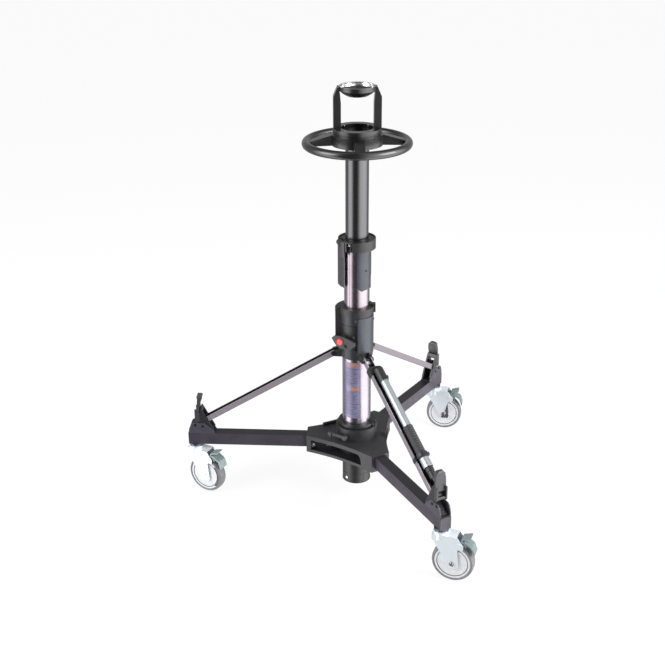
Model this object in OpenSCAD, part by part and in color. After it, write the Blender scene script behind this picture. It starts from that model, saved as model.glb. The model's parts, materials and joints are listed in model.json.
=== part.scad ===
// Camera pedestal: a two-stage column on a three-armed rolling dolly, with a steering ring and a bowl head.
// Millimetres. Z is up, the floor is Z = 0, and the column stands on the Z axis.
// The arms point to 180, 300 and 60 degrees, and the hand pump rides on the brace of the second arm.

/* [Dolly] */
// Height of the arms' top face above the floor
arm_top_z = 209; // [195:1:225]
// Height of an arm's rectangular tube
arm_h = 40; // [36:0.5:44]
// Width of an arm's rectangular tube
arm_w = 36; // [32:0.5:40]
// Wall of an arm's tube
arm_wall = 2.5; // [1.5:0.1:4]
// Distance from the column's axis to the outer end of an arm
arm_end_r = 546; // [530:1:600]
// Distance from the column's axis to the outer end of a hub lobe
hub_r = 160; // [145:1:180]
// Half width of a hub lobe
hub_lobe_w = 31; // [27:0.5:36]
// Distance from the axis to the middle of the hub's hollowed sides
hub_side_r = 96; // [86:1:100]
// Thickness of the hub's top plate
hub_plate = 5.7; // [4:0.1:9]
// Height of the hub casting under the arms
hub_skirt = 11; // [8:0.5:16]
// Wall of the hub casting
hub_wall = 5; // [3.5:0.1:7]
// Radius of the hub's raised socket
socket_r = 65; // [58:0.5:72]
// Height of the raised socket above the hub's top plate
socket_h = 40; // [30:1:50]

/* [Casters] */
// Diameter of a caster wheel
wheel_d = 125; // [115:1:135]
// Width of a caster's tyre
tyre_w = 32; // [26:0.5:36]
// Radius where the tyre meets the wheel's centre
wheel_rim_r = 53; // [50:0.5:55]
// Distance from an arm's outer end in to the caster's swivel axis
caster_inset = 22; // [16:1:32]
// Distance from the swivel axis to the wheel's axle
caster_trail = 39; // [32:0.5:42]
// Radius of the caster's axle sleeve
axle_r = 6; // [4.5:0.1:7.5]

/* [Column] */
// Outer radius of the base tube
base_tube_r = 45; // [42:0.5:48]
// Outer radius of the middle tube
mid_tube_r = 39; // [37.5:0.1:40]
// Outer radius of the upper tube
top_tube_r = 34.75; // [32:0.05:35.2]
// Wall of the three column tubes
tube_wall = 2.5; // [1.5:0.1:3]
// Height of the column's foot above the floor
column_foot_z = 51; // [40:1:70]
// Height of the lower collar's bottom edge
low_collar_z = 495; // [488:1:500]
// Height of the lower collar
low_collar_h = 167; // [163:0.5:175]
// Radius of the lower collar
low_collar_r = 50; // [49.5:0.1:52]
// Height of the upper collar's bottom edge
up_collar_z = 850; // [840:1:870]
// Height of the upper collar
up_collar_h = 30.4; // [29:0.2:36]
// Radius of the upper collar
up_collar_r = 56.8; // [55:0.1:60]
// Travel of the button in the collar's lock lever
button_travel = 3; // [1.5:0.1:4]

/* [Head] */
// Height of the steering wheel's hub bottom face
head_z = 1164; // [1150:1:1180]
// Turn of the head about the column, from the X axis
head_turn = 6; // [-20:1:20]
// Radius of the steering ring's centre line
ring_r = 148.5; // [135:0.5:170]
// Radius of the steering ring's round bar
ring_bar_r = 12.2; // [10:0.1:14]
// Radius of the steering wheel's hub
wheel_hub_r = 75; // [71:0.5:80]
// Radius of the bowl's spherical seat
bowl_r = 50; // [48:0.5:51]
// Radius of the hole in the bowl's bottom
bowl_hole_r = 30; // [24:0.5:34]
// Radius of the ball that the bowl's dished underside follows
bowl_dish_r = 73; // [68:1:80]
// Height of the bowl's straight outer band
bowl_band_h = 12.3; // [12:0.1:16]
// Height of the bowl's rim above the steering wheel's hub bottom face
bowl_rise = 169; // [160:1:190]

/* [Braces] */
// Distance from an arm's outer end in to the end of its brace
brace_foot_inset = 12.2; // [10:0.1:15]
// Height of a brace's end above the arm, on the brace's middle line
brace_foot_rise = 17.4; // [16.5:0.1:18.5]
// Distance from the column's axis to the braces' upper hinge pins
brace_pin_r = 70; // [69:0.5:72]
// Width of a brace
brace_w = 25; // [21:0.5:26]
// Depth of a brace
brace_d = 18; // [15:0.5:19]
// Wall of a brace's channel
brace_wall = 2.5; // [1.5:0.1:3.5]
// Radius of the hinge pins and lever pins' bores
pin_r = 4; // [3:0.1:4.6]

/* [Hand pump] */
// Radius of the hand pump's tube
pump_tube_r = 12.2; // [10:0.1:13]
// Radius of the hand pump's grip
pump_grip_r = 14.8; // [14:0.1:16]
// Distance along the brace from the top of the pump's grip to the brace's end
pump_grip_up = 274; // [268:1:285]
// Length of the grip
pump_grip_len = 113; // [90:1:120]

/* [Hidden] */
$fn = 96;

arm_az = [180, 300, 60];
trail_az = [-25.5, -16.6, -7.2];
// Radial gap of running fits, and the gap between parts that lie beside each other
run = 0.05;
gap = 0.3;

caster_r = arm_end_r - caster_inset;
arm_bottom_z = arm_top_z - arm_h;
hub_top_z = arm_top_z + gap + hub_plate;
hub_bottom_z = arm_bottom_z - hub_skirt;
socket_top_z = hub_top_z + socket_h;
low_collar_top = low_collar_z + low_collar_h;
up_collar_top = up_collar_z + up_collar_h;
base_tube_top = low_collar_z + 105;
bowl_top_z = head_z + bowl_rise;
wheel_hub_top = head_z + 32;
brace_pin_z = low_collar_z + 7.9;
brace_run = arm_end_r - brace_foot_inset - brace_pin_r;
brace_drop = brace_pin_z - arm_top_z - brace_foot_rise;
brace_slope = atan(brace_drop / brace_run);
brace_len = sqrt(brace_run * brace_run + brace_drop * brace_drop);
pump_grip_t = brace_len - pump_grip_up;
wheel_r = wheel_d / 2;

// A flat ring or tube between two heights
module tube(ro, ri, z0, z1) {
  translate([0, 0, z0])
    difference() {
      cylinder(r = ro, h = z1 - z0);
      translate([0, 0, -1])
        cylinder(r = ri, h = z1 - z0 + 2);
    }
}

module disc(r, z0, z1) {
  translate([0, 0, z0])
    cylinder(r = r, h = z1 - z0);
}

// A block given by its lowest and highest corners
module block(a, b) {
  translate(a)
    cube(b - a);
}

// Turns the X axis to one arm
module at_arm(k) {
  rotate([0, 0, arm_az[k]])
    children();
}

// Turns the X axis to an azimuth
module at_az(a) {
  rotate([0, 0, a])
    children();
}

// A side profile drawn in X and Z, with a thickness from y0 to y1
module side_plate(y0, y1) {
  translate([0, y1, 0])
    rotate([90, 0, 0])
      linear_extrude(height = y1 - y0)
        children();
}

// The same side profile as two plates, one on each side
module side_pair(y0, y1) {
  side_plate(y0, y1)
    children();
  side_plate(-y1, -y0)
    children();
}

// A round bar along X
module bar_x(r, x0, x1) {
  translate([x0, 0, 0])
    rotate([0, 90, 0])
      cylinder(r = r, h = x1 - x0);
}

// A round bar along Y
module bar_y(r, y0, y1) {
  translate([0, y1, 0])
    rotate([90, 0, 0])
      cylinder(r = r, h = y1 - y0);
}

// A hexagonal bar along Z
module hex(r, z0, z1) {
  translate([0, 0, z0])
    cylinder(r = r, h = z1 - z0, $fn = 6);
}

// A sector of a tube, between two azimuths
module tube_sector(ro, ri, z0, z1, a0, a1) {
  rotate([0, 0, a0])
    translate([0, 0, z0])
      rotate_extrude(angle = a1 - a0)
        translate([ri, 0])
          square([ro - ri, z1 - z0]);
}

/* Hub */

// The hub's outline from above, drawn in by an inset
module hub_outline(inset) {
  lobe_r = hub_r - inset;
  half = hub_lobe_w - inset;
  chord_mid = lobe_r * cos(60) + half * sin(60);
  chord_half = lobe_r * sin(60) - half * cos(60);
  sag = max(chord_mid - (hub_side_r - inset), 0.5);
  hollow_r = (chord_half * chord_half + sag * sag) / (2 * sag);
  difference() {
    polygon([for (a = [60, 180, 300], s = [-1, 1])
      [lobe_r * cos(a) - s * half * sin(a), lobe_r * sin(a) + s * half * cos(a)]]);
    for (a = [0, 120, 240])
      rotate(a)
        translate([chord_mid - sag + hollow_r, 0])
          circle(r = hollow_r, $fn = 360);
  }
}

module hub_casting() {
  color([0.17, 0.16, 0.18])
    difference() {
      union() {
        translate([0, 0, hub_bottom_z])
          linear_extrude(height = hub_top_z - hub_bottom_z)
            hub_outline(0);
        disc(socket_r, hub_top_z - 1, socket_top_z);
        at_az(120)
          block([hub_side_r - 9, -75, hub_top_z - 1], [hub_side_r - 1, 75, hub_top_z + 9]);
        block([hub_side_r - 4, -26, hub_top_z - 1], [hub_side_r - 1, 2, hub_top_z + 14]);
      }
      difference() {
        translate([0, 0, hub_bottom_z + hub_wall])
          linear_extrude(height = hub_top_z - hub_plate - hub_bottom_z - hub_wall)
            hub_outline(hub_wall);
        disc(base_tube_r + 10, hub_bottom_z, hub_top_z);
        for (k = [0, 1, 2])
          at_arm(k) {
            block([base_tube_r, -arm_w / 2 - gap - hub_wall, hub_bottom_z],
              [hub_r, arm_w / 2 + gap + hub_wall, hub_top_z]);
          }
      }
      disc(base_tube_r + gap, hub_bottom_z - 1, socket_top_z + 1);
      tube(socket_r - 6, base_tube_r + 8, hub_top_z - hub_plate - 1, socket_top_z - 6);
      for (k = [0, 1, 2])
        at_arm(k) {
          block([base_tube_r + 22, -arm_w / 2 - gap, arm_bottom_z - gap],
            [hub_r + 1, arm_w / 2 + gap, arm_top_z + gap]);
          for (x = hub_bolt_x)
            translate([x, 0, hub_bolt_z])
              bar_y(5.2, -lobe_wall_y - 1, lobe_wall_y + 1);
        }
      hub_windows();
      hub_screw_hole();
    }
}

// Distances and height of the two cross bolts that hold each arm in the hub
hub_bolt_x = [hub_r - 72, hub_r - 20];
hub_bolt_z = arm_bottom_z + 12;
lobe_wall_y = arm_w / 2 + gap + hub_wall;

// A long window in each hollowed side, cut through the wall alone
module hub_windows() {
  z0 = hub_bottom_z + hub_wall + 5;
  z1 = hub_top_z - hub_plate - 7.3;
  intersection() {
    translate([0, 0, z0])
      linear_extrude(height = z1 - z0)
        difference() {
          hub_outline(-1);
          hub_outline(hub_wall + 1.2);
        }
    for (a = [0, 120, 240])
      rotate([90, 0, a + 90])
        linear_extrude(height = hub_r)
          polygon([[-hub_r * 0.675, z0], [hub_r * 0.5, z0], [hub_r * 0.49, z0 + (z1 - z0) * 0.5],
            [hub_r * 0.46, z0 + (z1 - z0) * 0.85], [hub_r * 0.42, z1], [-hub_r * 0.675, z1]]);
  }
}

// Place of the hub's locking screw, on the front of the socket
screw_az = -118;
screw_z = socket_top_z - 25;

module hub_screw_hole() {
  at_az(screw_az)
    translate([0, 0, screw_z])
      bar_x(5 + run, base_tube_r, socket_r + 8);
}

module hub_lever() {
  color([0.42, 0.42, 0.44])
    at_az(screw_az)
      translate([0, 0, screw_z]) {
        bar_x(5, base_tube_r + gap, socket_r + 6);
        bar_x(8, socket_r + 3, socket_r + 15);
        side_lever();
      }
}

// The lever's arm, lying along the socket with a raised tip
module side_lever() {
  difference() {
    block([socket_r + 5, -56, -5], [socket_r + 11, 0, 5]);
    block([socket_r + 2, -57, -6], [socket_r + 7, -14, 6]);
  }
  block([socket_r + 7, -60, -6.5], [socket_r + 15, -48, 6.5]);
}

// The split ring that grips the base tube above the socket
clamp_ring_h = 12;
clamp_ear_az = -20;
clamp_ear_x = 61;

module hub_clamp_ring() {
  z0 = socket_top_z;
  color([0.15, 0.15, 0.16])
    difference() {
      union() {
        disc(53, z0, z0 + clamp_ring_h);
        disc(57.5, z0 + 3, z0 + clamp_ring_h);
        at_az(clamp_ear_az)
          block([50, -9, z0 + 0.5], [clamp_ear_x + 7, 9, z0 + clamp_ring_h]);
      }
      disc(base_tube_r, z0 - 1, z0 + clamp_ring_h + 1);
      at_az(clamp_ear_az)
        block([base_tube_r - 2, -1.5, z0 - 1], [clamp_ear_x + 10, 1.5, z0 + clamp_ring_h + 1]);
      at_az(clamp_ear_az)
        translate([clamp_ear_x, 0, z0 + clamp_ring_h / 2]) {
          bar_y(3.2, -15, 15);
          bar_y(4.6, -15, -5.5);
          bar_y(6.2, 8.8, 16);
        }
    }
}

// The socket-headed bolt through the clamp ring's two ears, and its nut in a spot face
module ring_bolt() {
  at_az(clamp_ear_az)
    translate([clamp_ear_x, 0, socket_top_z + clamp_ring_h / 2]) {
      bar_y(3, -7, 12);
      bar_y(4.4, -8, -5.55);
      rotate([-90, 0, 0])
        hex(5.5, 8.85, 13);
    }
}

/* Arms */

module arm(k) {
  color([0.33, 0.31, 0.35])
    at_arm(k)
      difference() {
        block([base_tube_r + 25, -arm_w / 2, arm_bottom_z], [arm_end_r - 2, arm_w / 2, arm_top_z]);
        block([base_tube_r + 24, -arm_w / 2 + arm_wall, arm_bottom_z + arm_wall],
          [arm_end_r, arm_w / 2 - arm_wall, arm_top_z - arm_wall]);
        for (x = hub_bolt_x)
          translate([x, 0, hub_bolt_z])
            bar_y(5.2, -arm_w / 2 - 1, arm_w / 2 + 1);
        translate([caster_r, 0, 0])
          disc(stem_r + 0.2, arm_bottom_z - 1, arm_bottom_z + arm_wall + 1);
      }
}

module arm_end_caps() {
  inner_w = arm_w / 2 - arm_wall;
  color([0.30, 0.29, 0.31])
    for (k = [0, 1, 2])
      at_arm(k) {
        block([arm_end_r - 2, -arm_w / 2, arm_bottom_z], [arm_end_r, arm_w / 2, arm_top_z]);
        difference() {
          block([arm_end_r - 10, -inner_w + run, arm_bottom_z + arm_wall + run],
            [arm_end_r - 2, inner_w - run, arm_top_z - arm_wall - run]);
          block([arm_end_r - 11, -inner_w + 3, arm_bottom_z + arm_wall + 3],
            [arm_end_r - 3.5, inner_w - 3, arm_top_z - arm_wall - 3]);
        }
      }
}

// Where the underside of a brace passes over a distance from the axis
function brace_under(x, clear) =
  brace_pin_z - (x - brace_pin_r) * tan(brace_slope) - (brace_d / 2 + clear) / cos(brace_slope);

// The bracket on each arm's end: a base, a sloping seat for the brace's foot, and two cheeks
bracket_in = arm_end_r - 88;
bracket_out = arm_end_r - 3;
cheek_y0 = 14.8;
cheek_y1 = 18;
cheek_top = arm_top_z + 36.5;
bracket_screw_x = [arm_end_r - 49, arm_end_r - 25];
bracket_screw_z = [arm_top_z + 25, arm_top_z + 29];

module cheek_outline() {
  polygon([[bracket_in, arm_top_z], [bracket_in + 3, arm_top_z + 7], [bracket_in + 6, arm_top_z + 13.5],
    [bracket_in + 34, cheek_top], [bracket_out - 16, cheek_top], [bracket_out - 7, arm_top_z + 31],
    [bracket_out, arm_top_z + 13], [bracket_out, arm_top_z]]);
}

module arm_brackets() {
  seat_in = bracket_in + 36;
  seat_out = bracket_out - 8;
  base_t = 3;
  color([0.42, 0.42, 0.47])
    for (k = [0, 1, 2])
      at_arm(k)
        difference() {
          union() {
            block([bracket_in, -cheek_y1, arm_top_z], [bracket_out, cheek_y1, arm_top_z + base_t]);
            side_pair(cheek_y0, cheek_y1)
              cheek_outline();
            side_plate(-brace_w / 2 + 1, brace_w / 2 - 1)
              polygon([[seat_in, arm_top_z + 1], [seat_out, arm_top_z + 1],
                [seat_out, max(brace_under(seat_out, gap), arm_top_z + 2)],
                [seat_in, brace_under(seat_in, gap)]]);
          }
          for (i = [0, 1])
            translate([bracket_screw_x[i], 0, bracket_screw_z[i]])
              bar_y(2.6, -cheek_y1 - 1, cheek_y1 + 1);
        }
}

// A bolt through a lobe's two walls, with its head and its nut
module cross_bolt() {
  bar_y(5, -lobe_wall_y - 7, lobe_wall_y + 7);
  rotate([90, 0, 0])
    hex(8.5, lobe_wall_y + 0.05, lobe_wall_y + 5);
  rotate([-90, 0, 0])
    hex(8.5, lobe_wall_y + 0.05, lobe_wall_y + 5);
}

module dolly_bolts() {
  color([0.70, 0.70, 0.72]) {
    ring_bolt();
    foot_bolt();
    for (k = [0, 1, 2])
      at_arm(k) {
        for (x = hub_bolt_x)
          translate([x, 0, hub_bolt_z])
            cross_bolt();
        for (i = [0, 1], s = [-1, 1])
          translate([bracket_screw_x[i], 0, bracket_screw_z[i]])
            rotate([0, 0, s * 90 - 90])
              bracket_screw();
      }
  }
}

// The screw that holds the foot cap in the base tube
foot_bolt_az = -130;
foot_bolt_z = column_foot_z + 17;

module foot_bolt() {
  at_az(foot_bolt_az)
    translate([0, 0, foot_bolt_z]) {
      bar_x(2.4, base_tube_r - tube_wall - 5, base_tube_r + 1);
      bar_x(4.2, base_tube_r + 0.05, base_tube_r + 2);
    }
}

// A short screw through one cheek, with a low round head outside
module bracket_screw() {
  bar_y(2.5, cheek_y0 - 1, cheek_y1);
  bar_y(4.2, cheek_y1, cheek_y1 + 1.6);
}

/* Casters */

stem_r = 6;
stem_flange_z = arm_bottom_z - 7;
fork_top_z = stem_flange_z - 4;
fork_inner_y = tyre_w / 2 + 2.2;
fork_plate = 3;
king_head_r = 10.5;

module at_caster(k) {
  at_arm(k)
    translate([caster_r, 0, 0])
      rotate([0, 0, trail_az[k] - arm_az[k]])
        children();
}

module caster_stems() {
  color([0.82, 0.84, 0.86])
    for (k = [0, 1, 2])
      at_caster(k) {
        disc(22, stem_flange_z, arm_bottom_z);
        disc(stem_r, fork_top_z - 14, arm_bottom_z + 16);
        hex(9.5, arm_bottom_z + arm_wall, arm_bottom_z + arm_wall + 8);
        disc(king_head_r, fork_top_z - 14, fork_top_z - 8.3);
      }
}

module fork_leg_outline() {
  polygon([[-16, fork_top_z - 31], [caster_trail - 9, wheel_r - 15.5], [caster_trail - 6, wheel_r - 17.5],
    [caster_trail + 16, wheel_r - 16.5], [caster_trail + 19, wheel_r - 8.5], [caster_trail + 14, wheel_r + 44.5],
    [pedal_x, pedal_z - 17.5], [pedal_x + 14, pedal_z - 16.5], [pedal_x + 14, pedal_z - 1.5],
    [pedal_x + 7, pedal_z + 5], [pedal_x - 4, fork_top_z - 7], [-24, fork_top_z - 7], [-24, fork_top_z - 24]]);
}

module caster_fork(k) {
  inner = fork_inner_y;
  outer = fork_inner_y + fork_plate;
  color([0.86, 0.88, 0.90])
    at_caster(k)
      difference() {
        union() {
          side_pair(inner, outer)
            fork_leg_outline();
          side_plate(-outer, outer)
            polygon([[-24, fork_top_z - 10], [pedal_x - 6, fork_top_z - 10],
              [pedal_x - 6, fork_top_z - 6.5], [-24, fork_top_z - 6.5]]);
          disc(23, fork_top_z - 25, fork_top_z);
          disc(17, fork_top_z - 1, stem_flange_z - gap);
        }
        disc(king_head_r + 2, fork_top_z - 26, fork_top_z - 8);
        disc(stem_r + run, fork_top_z - 26, stem_flange_z + 1);
        translate([caster_trail, 0, wheel_r])
          bar_y(axle_r - 1 + run, -outer - 1, outer + 1);
        translate([pedal_x, 0, pedal_z])
          bar_y(3, -outer - 1, outer + 1);
      }
  color([0.75, 0.76, 0.78])
    at_caster(k)
      union() {
        translate([caster_trail, 0, wheel_r])
          caster_axle(outer);
        translate([pedal_x, 0, pedal_z])
          pedal_pin(outer);
      }
}

// The axle bolt with its sleeve between the legs, its head and its nut
module caster_axle(outer) {
  bar_y(axle_r - 1, -outer - 5, outer + 5);
  bar_y(axle_r, -fork_inner_y + 0.05, fork_inner_y - 0.05);
  rotate([90, 0, 0])
    hex(8.5, outer + 0.05, outer + 4);
  rotate([-90, 0, 0])
    hex(8.5, outer + 0.05, outer + 4);
}

// The pin that the brake pedal turns on
module pedal_pin(outer) {
  bar_y(2.95, -outer - 1.5, outer + 1.5);
  bar_y(4.5, outer + 0.05, outer + 1.8);
  bar_y(4.5, -outer - 1.8, -outer - 0.05);
}

module wheel_centre(k) {
  disc_w = tyre_w / 2 - 2;
  side = [[axle_r + run, fork_inner_y - 0.5], [13, fork_inner_y - 0.5], [14, disc_w - 1],
    [wheel_rim_r - 8.5, disc_w], [wheel_rim_r - 8, disc_w - 2.5], [wheel_rim_r - 6.5, disc_w - 2.5],
    [wheel_rim_r - 6, disc_w + 0.5], [wheel_rim_r, disc_w + 0.5]];
  color([0.74, 0.76, 0.77])
    at_caster(k)
      translate([caster_trail, 0, wheel_r])
        rotate([90, 0, 0])
          rotate_extrude()
            polygon(concat(side, [for (i = [len(side) - 1:-1:0]) [side[i][0], -side[i][1]]]));
}

module tyre(k) {
  half = tyre_w / 2;
  side = [[wheel_rim_r, half - 1.5], [wheel_r - 6, half], [wheel_r - 2.6, half - 1.4], [wheel_r - 0.8, half - 4.5],
    [wheel_r, half - 9]];
  color([0.45, 0.44, 0.47])
    at_caster(k)
      translate([caster_trail, 0, wheel_r])
        rotate([90, 0, 0])
          rotate_extrude()
            polygon(concat(side, [for (i = [len(side) - 1:-1:0]) [side[i][0], -side[i][1]]]));
}

pedal_x = caster_trail + 17;
pedal_z = wheel_d + 4.5;

// The brake pedal: a knuckle on the pin, an upper plate, a tread plate and the brake pad over the tyre
module brake_pedal(k) {
  half = fork_inner_y - 0.7;
  pad_r = wheel_r + 4.8;
  dx = pedal_x - caster_trail;
  color([0.58, 0.62, 0.60])
    at_caster(k)
      translate([pedal_x, 0, pedal_z])
        difference() {
          union() {
            bar_y(5, -half, half);
            side_plate(-half, half)
              polygon([[-2, 2], [-4, 4.5], [8, 9.5], [20, 8.5], [35.5, -1], [41, -5.5], [48, -25.5], [48, -30.5],
                [44.5, -30.5], [44, -25.5], [37.5, -7.5], [33, -4.5], [19.5, 5], [9, 6], [4, 2]]);
            side_plate(-half + 1, half - 1)
              polygon([[6, 5], [8, 17.5], [34, 25], [34.5, 22], [11, 15.3], [11, 6]]);
            side_plate(-half + 3, half - 3)
              polygon(concat([[20, 6], [3, 3]], [for (a = [70.5, 67, 64, 61, 58, 55])
                [pad_r * cos(a) - dx, pad_r * sin(a) + wheel_r - pedal_z]]));
          }
          bar_y(3, -half - 1, half + 1);
        }
}

/* Column */

module base_tube() {
  color([0.52, 0.50, 0.60])
    difference() {
      tube(base_tube_r, base_tube_r - tube_wall, column_foot_z + 3, base_tube_top);
      at_az(screw_az)
        translate([0, 0, screw_z])
          bar_x(4, base_tube_r - tube_wall - 1, base_tube_r + 1);
      at_az(foot_bolt_az)
        translate([0, 0, foot_bolt_z])
          bar_x(2.5, base_tube_r - tube_wall - 1, base_tube_r + 1);
      tube(base_tube_r + 1, base_tube_r - 0.6, column_foot_z + 32.5, column_foot_z + 34);
      tube_sector(base_tube_r + 1, base_tube_r - 0.6, column_foot_z + 10, column_foot_z + 32.5, -97, -56);
    }
}

module base_foot_cap() {
  inner = base_tube_r - tube_wall;
  color([0.20, 0.19, 0.22])
    difference() {
      union() {
        disc(base_tube_r + 0.5, column_foot_z, column_foot_z + 3);
        disc(inner - run, column_foot_z + 1, column_foot_z + 26);
      }
      disc(inner - 6, column_foot_z + 7, column_foot_z + 27);
      disc(7, column_foot_z - 1, column_foot_z + 8);
      at_az(foot_bolt_az)
        translate([0, 0, foot_bolt_z])
          bar_x(2.5, inner - 8, inner + 1);
      for (a = [30, 150, 270])
        at_az(a)
          block([22, -4, column_foot_z - 1], [34, 4, column_foot_z + 4]);
    }
}

module air_valve() {
  color([0.78, 0.70, 0.45]) {
    disc(7 - run, column_foot_z + 1, column_foot_z + 7);
    hex(9, column_foot_z + 7, column_foot_z + 13);
    disc(4, column_foot_z - 8, column_foot_z + 19);
    disc(5.2, column_foot_z - 9, column_foot_z - 3);
  }
}

lock_az = -118;
lock_face = low_collar_r + 3.5;
lock_pivot_y = -3.7;
lock_pivot_z = low_collar_z + 50;
lock_boss_r = 11;
button_y = -24;
button_z = low_collar_z + 60;
button_r = 12;
// The collar's cap flange, and the lip that holds the bush in
cap_flange_z = low_collar_top - 23;
lip_z = low_collar_top - 3.5;
clevis_gap = gap;
clevis_t = 4.7;

module lower_collar() {
  clevis_y = brace_w / 2 + clevis_gap;
  color([0.25, 0.25, 0.28])
    difference() {
      union() {
        disc(low_collar_r, low_collar_z, low_collar_top - 2);
        disc(low_collar_r + 3, cap_flange_z, low_collar_top - 0.5);
        at_az(180) {
          block([base_tube_r - 4, -16, low_collar_z + 70], [low_collar_r + 15.6, 18, low_collar_top - 12]);
          block([base_tube_r - 4, -16, low_collar_top - 20], [low_collar_r + 10, 18, low_collar_top - 2]);
        }
        tube_sector(low_collar_r + 17, base_tube_r, low_collar_top - 17, low_collar_top - 7, 116, 196);
        at_az(3)
          block([base_tube_r - 4, -7, cap_flange_z + 1], [low_collar_r + 7.5, 7, low_collar_top + 6]);
        tube_sector(low_collar_r + 4.5, low_collar_r - 2, low_collar_z + 121, low_collar_top - 4, -99.7, -85.8);
        at_az(lock_az)
          translate([0, lock_pivot_y, lock_pivot_z])
            bar_x(lock_boss_r, base_tube_r + 1, lock_face);
        for (k = [0, 1, 2])
          at_arm(k)
            side_pair(clevis_y, clevis_y + clevis_t)
              union() {
                polygon([[low_collar_r - 3.5, low_collar_z - 2], [brace_pin_r, brace_pin_z - 9],
                  [brace_pin_r, brace_pin_z + 9], [low_collar_r - 3.5, brace_pin_z + 14]]);
                translate([brace_pin_r, brace_pin_z])
                  circle(r = 9);
              }
      }
      disc(base_tube_r + run, low_collar_z - 3, base_tube_top + gap);
      disc(bush_r, base_tube_top, lip_z);
      disc(mid_tube_r + gap, base_tube_top, low_collar_top + 9);
      for (k = [0, 1, 2])
        at_arm(k)
          translate([brace_pin_r, 0, brace_pin_z])
            bar_y(pin_r, -brace_w, brace_w);
      tube_sector(low_collar_r + 12, low_collar_r - 3.5, low_collar_z + 33.5, low_collar_z + 117, -95.5, -85.5);
      difference() {
        union() {
          tube_sector(low_collar_r + 1, low_collar_r - 1.5, low_collar_z + 70, low_collar_z + 112, -152, -94);
          tube_sector(low_collar_r + 1, low_collar_r - 2.5, low_collar_z + 112, low_collar_z + 115, -152, -94);
        }
        at_az(lock_az)
          translate([0, lock_pivot_y, lock_pivot_z])
            bar_x(lock_boss_r, base_tube_r + 1, lock_face);
      }
      at_az(lock_az)
        translate([0, lock_pivot_y, lock_pivot_z])
          bar_x(4, base_tube_r + 1, lock_face + 1);
      at_az(pinch_az)
        translate([0, 0, pinch_z])
          bar_x(2.5, base_tube_r + 1.2, low_collar_r);
      at_az(tab_screw_az)
        translate([0, 0, tab_screw_z])
          bar_x(1.5, base_tube_r + 2, low_collar_r + 5);
      for (c = cover_screws)
        at_az(c[0])
          translate([0, 0, c[1]])
            bar_x(1.5, base_tube_r + 1.5, low_collar_r + 5);
    }
}

bush_r = mid_tube_r + 5;
cover_az = [-85, 34];
cover_r = low_collar_r + 2.3;
cover_z = [low_collar_z + 14.5, low_collar_z + 139];
cover_screws = [[2, low_collar_z + 121], [2, low_collar_z + 33]];
pinch_az = -99;
pinch_z = low_collar_z + 77;
tab_screw_az = -91;
tab_screw_z = low_collar_z + 134;

module lower_bush() {
  color([0.14, 0.14, 0.15])
    union() {
      tube(bush_r, mid_tube_r + run, base_tube_top + 1, lip_z);
      at_az(key_az)
        block([mid_tube_r - 0.7, -0.7, base_tube_top + 6], [mid_tube_r + 2, 0.7, lip_z - 6]);
    }
}

// The smooth half-round cover beside the lock
module collar_cover() {
  color([0.40, 0.42, 0.46])
    difference() {
      tube_sector(cover_r, low_collar_r + 0.1, cover_z[0], cover_z[1], cover_az[0], cover_az[1]);
      at_arm(1)
        block([base_tube_r - 4, -brace_w / 2 - clevis_gap - clevis_t - gap, cover_z[0] - 1],
          [cover_r + 10, brace_w / 2 + clevis_gap + clevis_t + gap, brace_pin_z + 15]);
      for (c = cover_screws)
        at_az(c[0])
          translate([0, 0, c[1]])
            bar_x(1.7, low_collar_r - 1, cover_r + 1);
    }
}

module collar_fasteners() {
  x1 = lock_face + 9;
  color([0.74, 0.74, 0.76]) {
    for (k = [0, 1, 2])
      at_arm(k)
        translate([brace_pin_r, 0, brace_pin_z]) {
          bar_y(pin_r, -brace_w / 2 - 8, brace_w / 2 + 8);
          bar_y(6, brace_w / 2 + 5.1, brace_w / 2 + 8);
          bar_y(6, -brace_w / 2 - 8, -brace_w / 2 - 5.1);
        }
    for (c = cover_screws)
      at_az(c[0])
        translate([0, 0, c[1]]) {
          bar_x(1.5, base_tube_r + 1.5, cover_r + 0.5);
          bar_x(3.2, cover_r, cover_r + 1.4);
        }
    at_az(pinch_az)
      translate([0, 0, pinch_z]) {
        bar_x(2.5, base_tube_r + 1.2, low_collar_r - 1);
        bar_x(3.4, low_collar_r - 1.5, low_collar_r + 1);
      }
    at_az(tab_screw_az)
      translate([0, 0, tab_screw_z]) {
        bar_x(1.5, base_tube_r + 2, low_collar_r + 4.6);
        bar_x(2.8, low_collar_r + 4.5, low_collar_r + 5.6);
      }
    at_az(lock_az)
      translate([0, lock_pivot_y, lock_pivot_z])
        difference() {
          union() {
            bar_x(4, base_tube_r + 1, x1 - 3.1);
            bar_x(6, x1 - 3.1, x1 - 0.4);
          }
          translate([x1 - 2.6, 0, 0])
            rotate([0, 90, 0])
              cylinder(r = 3.2, h = 4, $fn = 6);
        }
  }
}

// The pointed lever on the collar, with a bore for its button
module lock_lever() {
  x0 = lock_face + 0.5;
  x1 = lock_face + 9;
  z = low_collar_z;
  color([0.30, 0.31, 0.34])
    at_az(lock_az)
      difference() {
        translate([x0, 0, 0])
          rotate([90, 0, 90])
            linear_extrude(height = x1 - x0)
              polygon([[-54, z + 67.5], [-46.8, z + 74.7], [-32.7, z + 78.8], [-22, z + 79], [-8, z + 77.3],
                [16, z + 71.8], [26.5, z + 66.3], [28.3, z + 55], [12.7, z + 39.7], [-8.3, z + 38.4],
                [-25.8, z + 38], [-36.4, z + 44], [-45, z + 54]]);
        translate([0, lock_pivot_y, lock_pivot_z]) {
          bar_x(4 + run, x0 - 1, x1 + 1);
          bar_x(6.3, x1 - 3.4, x1 + 1);
        }
        translate([0, button_y, button_z])
          bar_x(button_r + run, x0 + 1.5, x1 + 1);
      }
}

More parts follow.
